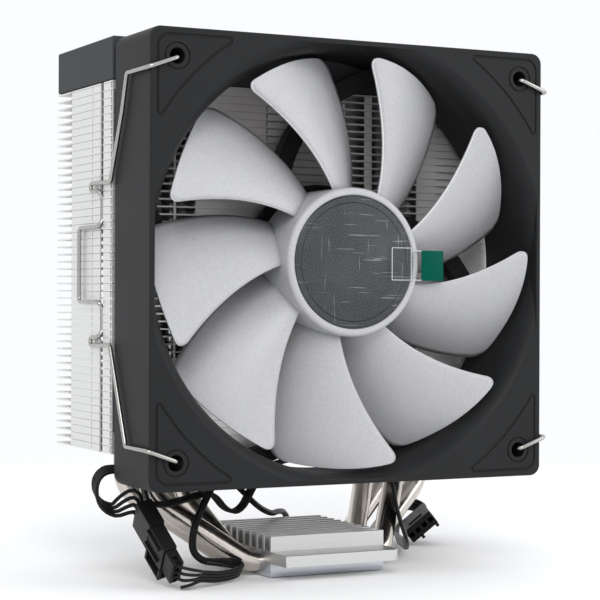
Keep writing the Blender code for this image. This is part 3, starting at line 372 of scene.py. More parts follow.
def piece(name, shape, finishes, stands_for, body="heatsink", angle=32):
    """Make an object of a shape, give it its finishes and put it on its body."""
    mesh = bpy.data.meshes.new(name)
    shape.to_mesh(mesh)
    shape.free()
    for finish in finishes:
        mesh.materials.append(finish.material)
    mesh.shade_smooth()
    mesh.set_sharp_from_angle(angle=math.radians(angle))
    obj = bpy.data.objects.new(name, mesh)
    bpy.context.scene.collection.objects.link(obj)
    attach(obj, body)
    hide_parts(*stands_for)
    print(f"{name}: {len(mesh.polygons)} faces")
    return obj


def evened(obj):
    """Shade large faces flat, right up to their rounded edges."""
    obj.modifiers.new("Even faces", "WEIGHTED_NORMAL").keep_sharp = True
    return obj


# %% [markdown]
# ## Lines that bend
# The pipes, the spring wires and the leads are all round sections along a line. Pipes and
# spring wires are straight runs joined by arcs, so their corners are rounded. A lead is
# limp and has no straight runs, so a smooth curve is drawn through points along it.


# %% Rounded lines, smooth lines and tubes
def rounded(points, radius, steps=6):
    """Round each inner corner of a line with an arc of at most the given radius."""
    result = [points[0]]
    for before, corner, after in zip(points, points[1:], points[2:]):
        back, ahead = before - corner, after - corner
        turn = math.pi - back.angle(ahead)
        if turn < 0.02:
            result.append(corner)
            continue
        room = min(back.length, ahead.length) * 0.49
        reach = min(radius * math.tan(turn / 2), room)
        arc_radius = reach / math.tan(turn / 2)
        middle = (back.normalized() + ahead.normalized()).normalized()
        centre = corner + middle * math.hypot(arc_radius, reach)
        start = (corner + back.normalized() * reach - centre).normalized()
        end = (corner + ahead.normalized() * reach - centre).normalized()
        result += [centre + arc_radius * start.slerp(end, i / steps) for i in range(steps + 1)]
    result.append(points[-1])
    return result


def smooth_line(route, spacing):
    """Evenly spaced points on a smooth curve through a route, all in millimetres."""
    knots = [Vector(point) for point in route]
    padded = [2 * knots[0] - knots[1]] + knots + [2 * knots[-1] - knots[-2]]
    dense = []
    for a, b, c, d in zip(padded, padded[1:], padded[2:], padded[3:]):
        dense += interpolate_bezier(b, b + (c - a) / 6, c - (d - b) / 6, c, 12)[:-1]
    dense.append(knots[-1])
    result = [dense[0]]
    for point in dense[1:-1]:
        if (point - result[-1]).length >= spacing:
            result.append(point)
    return result + [dense[-1]]


def length_of(points):
    return sum((b - a).length for a, b in zip(points, points[1:]))


def tube(points, diameter, resolution=4, closed=False):
    """A round section along points in millimetres, its ends closed."""
    data = bpy.data.curves.new("tube", "CURVE")
    data.dimensions = "3D"
    data.bevel_depth = diameter * MM / 2
    data.bevel_resolution = resolution
    data.use_fill_caps = True
    spline = data.splines.new("POLY")
    spline.points.add(len(points) - 1)
    spline.use_cyclic_u = closed
    for knot, point in zip(spline.points, points):
        knot.co = (*(point * MM), 1.0)
    shape = evaluated(bpy.data.objects.new("tube", data))
    bmesh.ops.remove_doubles(shape, verts=shape.verts, dist=1e-6)
    return shape


# %% [markdown]
# ## Leads
# Each lead is four thin insulated wires. The fan's power lead is a ribbon, its wires bonded
# side by side; near a connector the wires part to reach its holes, 2.5 mm apart. One line
# runs down the middle, and each wire keeps its own distance to one side of it, so the four
# never cross. How far apart they lie is given at a few places along the line and blended
# between them.

# %% Routes down the middle of each lead, in millimetres
LIGHT_ROUTE = [
    (-54.3, -12.4, 28.7), (-54.5, -8.6, 29.2), (-57.2, -6.4, 30.0), (-60.7, -6.1, 29.8),
    (-63.2, -6.4, 27.8), (-63.8, -6.8, 24.4), (-62.1, -6.9, 20.9), (-58.6, -7.0, 19.2),
    (-55.4, -7.9, 20.8), (-53.7, -9.9, 21.5), (-53.0, -12.46, 19.33),
]
POWER_ROUTE = [
    (-50.4, -12.4, 28.7), (-50.3, -9.0, 27.8), (-50.0, -7.4, 24.2), (-48.2, -7.2, 20.6),
    (-43.9, -7.2, 20.0), (-39.4, -7.2, 20.8), (-35.0, -7.2, 21.7), (-31.6, -6.9, 22.5),
    (-28.6, -6.2, 21.4), (-25.3, -5.5, 18.1), (-22.2, -5.2, 16.8), (-19.6, -5.2, 18.2),
    (-17.2, -5.2, 22.0), (-14.4, -5.0, 26.4), (-10.2, -4.6, 29.2), (-4.0, -3.8, 30.5),
    (4.0, -2.6, 30.8), (12.0, -1.8, 30.6), (18.4, -3.2, 30.0), (23.2, -5.6, 28.6),
    (25.8, -8.0, 25.4), (26.8, -9.3, 21.2), (27.6, -9.8, 16.2), (29.4, -9.5, 11.2),
    (32.6, -6.6, 7.0), (36.0, -0.8, 4.4), (39.6, 6.4, 3.0), (43.6, 14.8, 2.2), (48.2, 26.0, 2.2),
    (51.4, 32.0, 3.2), (54.8, 37.4, 5.4), (58.6, 41.8, 8.2), (62.4, 44.2, 9.8),
    (65.8, 44.0, 9.2), (66.2, 40.8, 8.0), (62.8, 37.4, 7.2), (58.84, 32.48, 6.72),
]
CONTROLLER_ROUTE = [
    (-48.64, -28.05, 3.69), (-48.0, -29.7, 3.4), (-45.4, -30.2, 3.2), (-41.6, -28.2, 3.0),
    (-36.5, -25.6, 2.2), (-30.4, -22.4, 2.1), (-26.2, -18.8, 2.6), (-26.4, -15.0, 3.8),
    (-30.2, -13.2, 4.3), (-34.6, -12.4, 4.9), (-37.2, -12.0, 7.4), (-37.4, -11.8, 11.2),
    (-36.0, -11.4, 15.8), (-33.8, -11.0, 20.0), (-31.6, -10.0, 23.2), (-29.0, -8.4, 25.8),
    (-25.8, -6.9, 26.9), (-22.4, -4.6, 25.2), (-17.8, -1.4, 22.0), (-12.8, 2.8, 18.6),
    (-6.8, 8.8, 15.4), (-0.6, 14.8, 13.2), (4.8, 20.6, 12.9), (9.0, 25.8, 11.6),
    (12.4, 30.6, 8.8), (15.6, 35.0, 4.8), (19.6, 38.4, 1.8), (25.4, 40.8, 1.6),
    (32.4, 43.2, 1.6), (36.8, 49.6, 1.6), (36.0, 57.6, 1.6), (30.6, 63.0, 1.6),
    (22.6, 64.0, 1.6), (15.4, 60.4, 1.6), (12.2, 53.4, 1.6), (14.6, 47.0, 1.6),
    (20.6, 44.4, 1.6), (26.6, 45.0, 1.6), (31.2, 47.6, 1.7), (33.0, 50.4, 2.2),
    (31.45, 52.8, 2.7),
]

# %% Wires side by side along a route
WIRE_COUNT = 4
HOLE_PITCH = 2.5


def blended(table, share):
    """The value at share in a table of (share, value) rows, straight between its rows."""
    for (start, first), (end, second) in zip(table, table[1:]):
        if share <= end:
            ease = (share - start) / (end - start)
            return first + (second - first) * ease
    return table[-1][1]


# %% [markdown]
# ## Connectors
# The leads end in small black housings. Each is modelled in its own axes: X along it from
# the end where its wires enter, Y across its row of holes and Z through its thickness.
# Real holes are cut for the wires, because a dark hole is what tells a housing from a
# plain block. The fan's light plug and the controller's socket are pushed together.

# %% Connector housings
def frame_of(aim, up, place):
    """Matrix whose local X is aim and whose local Z is as near up as it can be."""
    x, up = Vector(aim).normalized(), Vector(up)
    z = (up - x * up.dot(x)).normalized()
    turn = Matrix((x, z.cross(x), z)).transposed().to_4x4()
    return Matrix.Translation(Vector(place) * MM) @ turn


def hole_row(x, y, z, depth, size=1.5):
    """Cutters for a row of wire holes; x is the face they open in."""
    holes = []
    for number in range(WIRE_COUNT):
        middle = y + (number - (WIRE_COUNT - 1) / 2) * HOLE_PITCH
        holes.append(box((x - depth, middle - size / 2, z - size / 2),
                         (x + depth, middle + size / 2, z + size / 2)))
    return joined(holes)


light_place = frame_of((0.194, -0.693, -0.695), (0.965, 0.008, 0.262), (-56, -16.6, 21.9))
PLUG_LENGTH, PLUG_WIDTH, PLUG_THICK = 8.2, 10.5, 4.5
HOLE_DEPTH = 2.5
row_y, row_z = PLUG_WIDTH / 2, PLUG_THICK / 2
plug_shape = joined([
    cut(box((0, 0, 0), (PLUG_LENGTH, PLUG_WIDTH, PLUG_THICK), 0.25),
        hole_row(0, row_y, row_z, HOLE_DEPTH)),
    box((8, 0.7, 0.25), (16.2, 10.3, 4.2), 0.2),
    box((7.6, 2.2, -0.5), (14.5, 3.1, 0.5), 0.15),
    box((7.6, 7.4, -0.5), (14.5, 8.3, 0.5), 0.15),
    box((8.3, 13.4, 0), (16.4, 14.2, 3.4), 0.15),
    box((8.3, 10.0, 0), (9.2, 13.8, 3.4), 0.15),
    box((15.6, 10.0, 0), (16.4, 13.8, 0.9), 0.15),
])
light_plug = evened(piece("light_plug_housing", moved(plug_shape, light_place),
                          [connector_black], ["light_plug"]))
SOCKET_END = 21
socket_shape = cut(box((16.3, 1.2, 0.7), (SOCKET_END, 9.8, 3.9), 0.2),
                   hole_row(SOCKET_END, row_y, row_z, HOLE_DEPTH, 1.3))
evened(piece("light_socket_housing", moved(socket_shape, light_place), [connector_black],
             ["light_socket"]))

power_place = frame_of((0.366, 0.924, 0.106), (-0.579, 0.294, 0.760), (54.1, 20.8, 5.4))
power_shape = joined([
    cut(box((0, -5, -2.35), (12, 5, 2.35), 0.2), hole_row(0, 0, 0, 5)),
    box((0, 0.9, -3.35), (9, 1.9, -2.2), 0.1),
    box((0, -4.8, -3.35), (9, -3.8, -2.2), 0.1),
    box((2.5, -2.6, 2.2), (9.5, 2.6, 2.7), 0.15),
])
power_plug = evened(piece("power_plug_housing", moved(power_shape, power_place),
                          [connector_black], ["power_plug"]))
header_place = frame_of((-0.8, 0.6, 0), (0, 0, 1), (30.5, 53.5, 2.7))
header_shape = cut(box((0, -3.5, -2.3), (9, 3.5, 2.3), 0.25),
                   box((6, -2.7, -1.5), (10, 2.7, 1.5)))
header_plug = evened(piece("header_plug_housing", moved(header_shape, header_place),
                           [connector_black], ["header_plug"]))

# %% [markdown]
# ## The bundle's direction
# A ribbon bends easily across its flat side and hardly at all in its own plane. Carrying
# the side direction along the line with the least turning gives exactly that. Near the end
# it also has to turn to meet the row of holes, so the angle that is missing is spread over
# the last stretch. Where the ribbon is split, its wires lie two by two in a round bundle.


# %% Wires that keep their order
def bundle(route, first_side, last_side, pitches, flatness, wire, turn_from=0.6):
    """Four wires along a route, from a ribbon (flatness 1) to a round bundle (0)."""
    middle = smooth_line(route, 0.9)
    total = length_of(middle)
    ends = list(zip([middle[0]] + middle[:-1], middle[1:] + [middle[-1]]))
    alongs = [(after - before).normalized() for before, after in ends]
    carried = [Vector(first_side)]
    for along in alongs:
        side = carried[-1] - along * carried[-1].dot(along)
        carried.append(side.normalized())
    carried = carried[1:]
    wanted = Vector(last_side)
    wanted = (wanted - alongs[-1] * wanted.dot(alongs[-1])).normalized()
    missing = math.atan2(alongs[-1].dot(carried[-1].cross(wanted)), carried[-1].dot(wanted))
    lines = [[] for _ in range(WIRE_COUNT)]
    walked = 0.0
    for index, (point, along) in enumerate(zip(middle, alongs)):
        walked += (point - middle[max(index - 1, 0)]).length
        share = walked / total
        late = max(0.0, (share - turn_from) / (1 - turn_from))
        side = Matrix.Rotation(missing * late, 3, along) @ carried[index]
        flat = blended(flatness, share)
        for number, line in enumerate(lines):
            place = (number - (WIRE_COUNT - 1) / 2) * blended(pitches, share)
            corner = Matrix.Rotation((number + 0.5) * math.pi / 2, 3, along) @ side
            line.append(point + side * place * flat + corner * (1 - flat) * wire * 0.71)
    return middle, joined([tube(line, wire, 2) for line in lines])


def lead(name, node, route, bundled):
    middle, shape = bundle(route, *bundled)
    obj = piece(name, shape, [wire_skin], [node], angle=60)
    path = [tuple(point * MM) for point in middle]
    length_of(middle) * MM
    print(f"{name}: {length_of(middle):.1f} mm long")


# %% The three leads
ACROSS_LIGHT = (0.175, 0.719, -0.669)
ALL_FLAT = [(0, 1), (1, 1)]
lead("light_lead_wires", "light_lead", LIGHT_ROUTE,
     ((0.8, -0.6, 0), tuple(-c for c in ACROSS_LIGHT),
      [(0, 1.05), (0.7, 1.2), (1, HOLE_PITCH)], ALL_FLAT, 1.1, 0.3))
lead("power_lead_ribbon", "power_lead", POWER_ROUTE,
     ((0, -0.3, -0.95), (-0.671, 0.3395, -0.6426),
      [(0, 1.0), (0.95, 1.0), (1, HOLE_PITCH)], ALL_FLAT, 1.15))
lead("controller_lead_wires", "controller_lead", CONTROLLER_ROUTE,
     (ACROSS_LIGHT, (0.6, 0.8, 0),
      [(0, 2.4), (0.015, 1.7), (0.035, 0.92), (0.985, 0.92), (1, 1.2)],
      [(0, 1), (0.12, 1), (0.18, 0.2), (0.95, 0.1), (1, 1)], 0.9))

# %% [markdown]
# ## Fan frame
# The frame is one plastic moulding: a 120 mm square, 25 mm deep, with a round bore that
# opens like a bell at the front. The bell is wider than the frame's sides allow, so it
# narrows to a thin rim at the middle of each side. A turned cutter trimmed by a box gives
# that in one cut. Fan pieces are modelled with their axis along local Z, looking out of
# the front, and then turned into place.

# %% Outlines of the frame
FAN_FRONT_Y, FAN_AXIS_Z = -35.25, 86.3
FAN_PLACE = Matrix.Translation(Vector((0, FAN_FRONT_Y, FAN_AXIS_Z)) * MM) @ Matrix.Rotation(
    math.radians(90), 4, "X")
FAN_HALF = 60
FAN_DEPTH = 25
FAN_CORNER_R = 3
HOLE_PLACE = 52.5
HOLE_R = 2.15
BORE_R = 57.6
BELL_R = 62
BELL_DEPTH = 8
BELL_TRIM = 58.6
STRUT_LOW, STRUT_HIGH = -24.2, -20.6


def arc(centre, radius, start, end, steps):
    angles = [start + (end - start) * i / steps for i in range(steps + 1)]
    return [(centre[0] + radius * math.cos(a), centre[1] + radius * math.sin(a)) for a in angles]


def rounded_square(half, radius, steps=8):
    points = []
    for quarter, (x, y) in enumerate([(1, 1), (-1, 1), (-1, -1), (1, -1)]):
        angle = quarter * math.pi / 2
        points += arc((x * (half - radius), y * (half - radius)), radius, angle,
                      angle + math.pi / 2, steps)
    return points


def strut_outline(index):
    """A strut sweeps round the axis by the same angle for each step outwards."""
    steps, inner, outer = 24, 19.5, 58.4
    start, twist = math.radians(38 + 90 * index), math.radians(-60)
    near, far = [], []
    for step in range(steps + 1):
        share = step / steps
        radius = inner + (outer - inner) * share
        angle = start + twist * share
        normal = angle + math.pi / 2 + math.atan(twist * radius / (outer - inner))
        x, y = radius * math.cos(angle), radius * math.sin(angle)
        dx, dy = 2.5 * math.cos(normal), 2.5 * math.sin(normal)
        near.append((x + dx, y + dy))
        far.append((x - dx, y - dy))
    return near + far[::-1]


def pad_groove():
    """The fine line round one raised corner pad, as a closed tube in the front face."""
    edge, radius, rounding, width = 58.0, 68.0, 3.2, 0.75
    reach = math.sqrt(radius ** 2 - edge ** 2)
    low = math.atan2(reach, edge)
    bow = arc((0, 0), radius, low + 0.07, math.pi / 2 - low - 0.07, 8)
    corners = [bow[-1], (reach, edge), (edge, edge), (edge, reach), bow[0]]
    line = rounded([Vector((x, y, 0)) for x, y in corners], rounding)
    line += [Vector((x, y, 0)) for x, y in bow[1:-1]]
    return tube(line, width, 1, closed=True)


# %% Cut the frame
frame_shape = plate(rounded_square(FAN_HALF, FAN_CORNER_R), -FAN_DEPTH, 0)
rim = [edge for edge in frame_shape.edges if abs(edge.verts[0].co.z - edge.verts[1].co.z) < 1e-6]
bmesh.ops.bevel(frame_shape, geom=rim, offset=0.5 * MM, segments=2, profile=0.5,
                affect="EDGES", material=-1)
quarter_turn = [math.pi / 2 * i / 14 for i in range(15)]
flare = [(BORE_R + (BELL_R - BORE_R) * (1 - math.sin(a)), -BELL_DEPTH * (1 - math.cos(a)))
         for a in quarter_turn]
below = -FAN_DEPTH - 1
bell = turned([(0, 1), (BELL_R, 1)] + flare + [(BORE_R, below), (0, below)], 144, closed=False)
bell = cut(bell, box((-BELL_TRIM, -BELL_TRIM, -30), (BELL_TRIM, BELL_TRIM, 30)), "INTERSECT")
frame_shape = cut(frame_shape, bell)
for index in range(4):
    frame_shape = cut(frame_shape, plate(strut_outline(index), STRUT_LOW, STRUT_HIGH),
                      "UNION")
motor_base = [(0, -21), (21.5, -21), (22, -21.5), (22, STRUT_LOW), (0, STRUT_LOW)]
frame_shape = cut(frame_shape, turned(motor_base, 96, closed=False), "UNION")
lead_slot = box((-56.6, -64.6, -30), (-47.1, -55.4, -21.5))
details = [lead_slot]
for x, y in ((-1, -1), (-1, 1), (1, -1), (1, 1)):
    hole = (x * HOLE_PLACE, y * HOLE_PLACE)
    details.append(rod(HOLE_R, -30, 5, hole, 40))
    ring = turned([(3.25, 1), (3.6, 1), (3.6, -0.4), (3.25, -0.4)], 48)
    details.append(moved(ring, Matrix.Translation(Vector((*hole, 0)) * MM)))
    quarter = math.atan2(y, x) - math.pi / 4
    details.append(moved(pad_groove(), Matrix.Rotation(quarter, 4, "Z")))
frame_shape = cut(frame_shape, joined(details))
evened(piece("frame_moulding", moved(frame_shape, FAN_PLACE), [frame_black], ["fan_frame"],
             angle=28))

# %% [markdown]
# ## Impeller
# Nine blades sweep forwards from a cup-shaped hub. A blade's leading edge is near the front
# and its trailing edge deep in the bore, and both edges are curved, so each blade is a flat
# grid whose points are moved to their place between the two edges. Its outer corners are
# rounded by drawing the ends of the last few rows in. A Solidify modifier gives it a
# thickness and puts its rim faces on a second finish, a painted highlight along the edges.

# %% Hub
HUB_R = 20.25
TIP_R = 56.3
BLADES = 9
crest = [(19.0 + 1.25 * math.cos(a), -1.75 + 1.25 * math.sin(a))
         for a in [math.pi / 2 * (1 - i / 6) for i in range(7)]]
hub_shape = turned([(0, -1.8), (18.2, -1.8), (18.2, -0.75), (18.45, -0.5)] + crest
                   + [(HUB_R, -19.5), (18.95, -19.5), (18.95, -3), (0, -3)], 96, closed=False)
piece("impeller_hub", moved(hub_shape, FAN_PLACE), [blade_frost], ["impeller"],
      "rotor")


# %% Blades
def blade_point(share, chord):
    """One blade's middle surface: share runs from hub to tip, chord from lead to trail."""
    lead_angle = math.radians(143.0 + 26.5 * share - 4.32 * share ** 2)
    trail_angle = math.radians(109.2 + 27.9 * share - 6.9 * share ** 2 + 1.7 * share ** 3)
    lead_depth = 4.74 - 2.77 * share - 0.67 * share ** 2
    trail_depth = 17.3 - 0.8 * share - 0.4 * share ** 2
    radius = HUB_R + share * (TIP_R - HUB_R)
    corner = 3.2  # how far in from the tip the outer corners start to round
    past = max(0.0, corner - (TIP_R - radius))
    drawn_in = corner - math.sqrt(max(corner ** 2 - past ** 2, 0.0))
    inset = drawn_in / (radius * (lead_angle - trail_angle))
    chord = inset + chord * (1 - 2 * inset)
    angle = lead_angle + (trail_angle - lead_angle) * chord
    depth = lead_depth + (trail_depth - lead_depth) * chord ** 1.65
    return Vector((radius * math.cos(angle), radius * math.sin(angle), -depth)) * MM


def blade_shape():
    shape = bmesh.new()
    bmesh.ops.create_grid(shape, x_segments=22, y_segments=30, size=0.5)
    for vertex in shape.verts:
        outward = 1 - (0.5 - vertex.co.y) ** 1.7
        vertex.co = blade_point(-0.015 + 1.015 * outward, vertex.co.x + 0.5)
    bmesh.ops.recalc_face_normals(shape, faces=shape.faces)
    return shape


blade_set = joined([moved(blade_shape(), Matrix.Rotation(-k * math.tau / BLADES, 4, "Z"))
                    for k in range(BLADES)])
blades = piece("blades", moved(blade_set, FAN_PLACE), [blade_frost, painted_rim_highlight], ["impeller"],
               "rotor", angle=50)
# The rim faces take the second finish, the painted highlight along the blade edges.
skin = blades.modifiers.new("Thickness", "SOLIDIFY")
skin.thickness = 1.1 * MM
skin.offset = 0
skin.use_rim = True
skin.material_offset_rim = 1

# %% Disc in the hub, film over it and its tab
FILM_R = 17.6
FILM_LOW, FILM_HIGH = -0.2, -0.05
TONGUE_START, TAB_START, TAB_END = 17.4, 20.6, 27.6
TAB_LEFT, TAB_RIGHT = -4.9, 3.4
LINES_LOW = -0.06


def film_line(left, low, right, high):
    """A thin line that stands on the film, between two corners."""
    return box((left, low, LINES_LOW), (right, high, 0))


disc_shape = turned([(0, -0.85), (16.0, -0.85), (16.15, -1.0), (16.3, -0.85), (17.7, -0.85),
                     (17.95, -1.05), (17.95, -1.5), (0, -1.5)], 96, closed=False)
piece("hub_slate_disc", moved(disc_shape, FAN_PLACE), [slate], ["hub_disc"],
      "rotor")
tongue = box((TONGUE_START, TAB_LEFT, FILM_LOW), (TAB_START + 0.1, TAB_RIGHT, FILM_HIGH))
film_shape = joined([rod(FILM_R, FILM_LOW, FILM_HIGH, sides=96), tongue])
piece("hub_film_sheet", moved(film_shape, FAN_PLACE), [clear_film], ["hub_film"],
      "rotor")
border = joined([
    film_line(11.2, -4.85, TAB_START, -4.65), film_line(11.2, 3.95, TONGUE_START, 4.15),
    film_line(11.2, -4.85, 11.4, 4.15), film_line(17.2, -4.85, TONGUE_START, 4.15),
    film_line(TONGUE_START, 3.2, TAB_START, TAB_RIGHT),
])
piece("film_border", moved(border, FAN_PLACE), [film_edge], ["hub_film"],
      "rotor")
tab_shape = box((TAB_START, TAB_LEFT, FILM_LOW), (TAB_END, TAB_RIGHT, 0), 0.05)
piece("pull_tab", moved(tab_shape, FAN_PLACE), [tab_green], ["hub_film"], "rotor")

# %% [markdown]
# ## Fin stack
# Forty-nine thin fins are stacked at a pitch of 2.09 mm. Strips along their edges are
# folded down to touch the next fin, which spaces them and closes parts of the sides into
# walls with a fine line at every fin. Each hole has a short collar that grips its heat
# pipe. One fin is modelled with its folds and collars, and copied upwards.

# %% One fin
FINS = 49
FIN_THICK = 0.4
STACK_BOTTOM = 34.3
STACK_HEIGHT = 100.6
STACK_HALF = 60
FRONT_Y = -8.55
BACK_Y = 35.45
FIN_PITCH = (STACK_HEIGHT - FIN_THICK) / (FINS - 1)
FOLD = FIN_PITCH - FIN_THICK - 0.1
GROOVE_X, GROOVE_FRONT, GROOVE_BACK = 58.6, -1.75, 0.45
PIPES = 4
PIPE_OUTER_X, PIPE_INNER_X, PIPE_STEP_Y = 46, 32, 9
COLLAR_R = 3.5


def pipe_stand(index, side):
    """X and Y of a heat pipe among the fins: outer on one side and inner on the other."""
    outer = (index % 2 == 0) == (side < 0)
    return side * (PIPE_OUTER_X if outer else PIPE_INNER_X), PIPE_STEP_Y * index


def mirrored(points):
    return points + [(-x, y) for x, y in points[::-1]]


def fin_shape(last=False):
    outline = mirrored([(STACK_HALF, FRONT_Y), (STACK_HALF, GROOVE_FRONT),
                        (GROOVE_X, GROOVE_FRONT), (GROOVE_X, GROOVE_BACK),
                        (STACK_HALF, GROOVE_BACK), (STACK_HALF, 23.5), (59.0, 23.6),
                        (59.0, 23.9), (STACK_HALF, 24.0), (STACK_HALF, BACK_Y)])
    parts = [plate(outline, 0, FIN_THICK)]
    if last:
        return joined(parts)
    folds = []
    for side in (-1, 1):
        for start, end in ((-7.25, GROOVE_FRONT), (GROOVE_BACK, 6.4), (6.75, 23.4)):
            folds.append((side * STACK_HALF, side * (STACK_HALF - FIN_THICK), start, end, FOLD))
        folds.append((side * GROOVE_X, side * (GROOVE_X - FIN_THICK), GROOVE_FRONT, GROOVE_BACK,
                      FOLD))
        folds.append((side * 42.4, side * 41.4, BACK_Y - FIN_THICK, BACK_Y, FOLD))
    fronts = [(-STACK_HALF, -47.7, 0, FOLD), (-42.1, -41.5, 0, FOLD), (-35.6, -14.2, 0, FOLD),
              (-13.8, 10.8, 0, FOLD - 0.3), (17.3, 19.6, 0, FOLD), (34.6, 41.2, 0, FOLD),
              (41.2, 50.1, 0.6, FOLD), (50.1, STACK_HALF, 0, FOLD)]
    for left, right, back, drop in fronts:
        folds.append((left, right, FRONT_Y + back, FRONT_Y + back + FIN_THICK, drop))
    for left, right, start, end, drop in folds:
        low, high = sorted((left, right))
        parts.append(box((low, start, FIN_THICK), (high, end, FIN_THICK + drop)))
    for index in range(PIPES):
        for side in (-1, 1):
            parts.append(rod(COLLAR_R, FIN_THICK, FIN_THICK + FOLD, pipe_stand(index, side), 14))
    return joined(parts)


# %% Copy it upwards
one = bpy.data.meshes.new("one_fin")
ready = fin_shape()
ready.to_mesh(one)
ready.free()
stack = fin_shape(last=True)
top_shift = Vector((0, 0, (STACK_BOTTOM + STACK_HEIGHT - FIN_THICK) * MM))
bmesh.ops.translate(stack, verts=stack.verts, vec=top_shift)
for number in range(FINS - 1):
    before = len(stack.verts)
    stack.from_mesh(one)
    stack.verts.ensure_lookup_table()
    bmesh.ops.translate(stack, verts=stack.verts[before:],
                        vec=(0, 0, (STACK_BOTTOM + number * FIN_PITCH) * MM))
bpy.data.meshes.remove(one)
piece("fins", stack, [fin_sheet], ["fin_stack"])

# %% [markdown]
# ## Cover, heat pipes and base
# The cover is a shallow open-bottomed plastic cap with slightly softened edges. Each heat
# pipe is a U: it runs flat through the base, bends out and up on both sides and passes
# through all the fins. The pipes are pressed a little flat inside the base. The block
# is an extrusion along X, so its ribs and both ledges are one outline with a thickness.

# %% Cover
COVER_BOTTOM, COVER_TOP, COVER_WALL = 135.2, 146.9, 1.6
cap_inside = STACK_HALF - COVER_WALL
cap = cut(box((-STACK_HALF, FRONT_Y, COVER_BOTTOM), (STACK_HALF, BACK_Y, COVER_TOP), 0.5, 3),
          box((-cap_inside, FRONT_Y + COVER_WALL, COVER_BOTTOM - 5),
              (cap_inside, BACK_Y - COVER_WALL, COVER_TOP - COVER_WALL)))
evened(piece("cover_cap", cap, [cover_grey], ["top_cover"], angle=28))

# %% Heat pipes
PIPE_D = 6
PIPE_FLAT = 1
PIPE_SPREAD = 0.3
PIPE_PITCH = 8
PIPE_Z = 3.6
PIPE_KNEE_Z = 22
PIPE_TOP = 142.8
BASE_HALF = 17.7
PIPE_LEAVE = 3.3


def pipe_row(index):
    """Y of a pipe's flat run through the base."""
    return (index - (PIPES - 1) / 2) * PIPE_PITCH


def pipe_route(index):
    row = pipe_row(index)
    half = []
    for side in (-1, 1):
        x, y = pipe_stand(index, side)
        corner = Vector((side * (BASE_HALF + PIPE_LEAVE), row, PIPE_Z))
        knee = Vector((x, y, PIPE_KNEE_Z))
        bent = rounded([Vector((0, row, PIPE_Z)), corner, (corner + knee) / 2], 7, 10)
        risen = rounded([(corner + knee) / 2, knee, Vector((x, y, PIPE_TOP))], 11, 10)
        half.append(bent[1:-1] + risen[1:])
    return half[0][::-1] + half[1]


def pressed_flat(shape, row):
    """Press the run in the base flat, easing out to the full round beside it."""
    for vertex in shape.verts:
        if vertex.co.z > (PIPE_Z + PIPE_D) * MM:
            continue
        outside = (abs(vertex.co.x) / MM - BASE_HALF) / PIPE_LEAVE
        ease = min(max(1 - outside, 0.0), 1.0)
        height, sideways = vertex.co.z - PIPE_Z * MM, vertex.co.y - row * MM
        vertex.co.z = PIPE_Z * MM + height * (1 - ease * PIPE_FLAT / PIPE_D)
        vertex.co.y = row * MM + sideways * (1 + ease * 2 * PIPE_SPREAD / PIPE_D)
    return shape


for index in range(PIPES):
    pipe_shape = pressed_flat(tube(pipe_route(index), PIPE_D, 10), pipe_row(index))
    piece(f"bent_pipe_{index + 1}", pipe_shape, [pipe_nickel], [f"heat_pipe_{index + 1}"],
          angle=40)

# %% Base block and contact plate
ALONG_X = Matrix(((0, 0, 1, 0), (1, 0, 0, 0), (0, 1, 0, 0), (0, 0, 0, 1)))
RIBS = 10
RIB_HALF = 0.7
RIB_REACH = 19.05
RIB_TOP = 11.2
LEDGE_REACH, LEDGE_LOW, LEDGE_TOP = 29.25, 3.75, 6.9
block_outline = [(-LEDGE_REACH, LEDGE_LOW), (LEDGE_REACH, LEDGE_LOW), (LEDGE_REACH, LEDGE_TOP)]
for number in reversed(range(RIBS)):
    middle = -RIB_REACH + number * 2 * RIB_REACH / (RIBS - 1)
    block_outline += [(middle + RIB_HALF, LEDGE_TOP), (middle + RIB_HALF, RIB_TOP),
                      (middle - RIB_HALF, RIB_TOP), (middle - RIB_HALF, LEDGE_TOP)]
block_outline.append((-LEDGE_REACH, LEDGE_TOP))
block_shape = moved(plate(block_outline, -BASE_HALF, BASE_HALF), ALONG_X)
far_corners = [edge for edge in block_shape.edges
               if all(v.co.x > 17 * MM and abs(v.co.y) > 29 * MM for v in edge.verts)
               and abs(edge.verts[0].co.z - edge.verts[1].co.z) > 1 * MM]
bmesh.ops.bevel(block_shape, geom=far_corners, offset=1.5 * MM, segments=1, profile=0.5,
                affect="EDGES", material=-1)
block = piece("slotted_block", block_shape, [milled_block], ["base_block"],
              angle=20)
soften = block.modifiers.new("Edges", "BEVEL")
soften.width = 0.12 * MM
soften.segments = 2
evened(block)
PLATE_REACH, PLATE_TOP = 19.75, 3.7
plate_shape = box((-BASE_HALF, -PLATE_REACH, 0), (BASE_HALF, PLATE_REACH, PLATE_TOP), 0.15)
piece("contact_plate", plate_shape, [plated_plate], ["base_plate"], angle=28)

# %% [markdown]
# ## Wire clips
# Each clip is one length of spring wire. Its two tips go into the frame's corner holes, its
# arms run back along the frame, and its middle rests in a groove in the fins and steps out
# into a loop for a finger. It swings outwards about the line through its tips, so the whole
# wire rides on its own body.


# %% Clip wire
CLIP_WIRE = 1.2
CLIP_BEND = 1.3


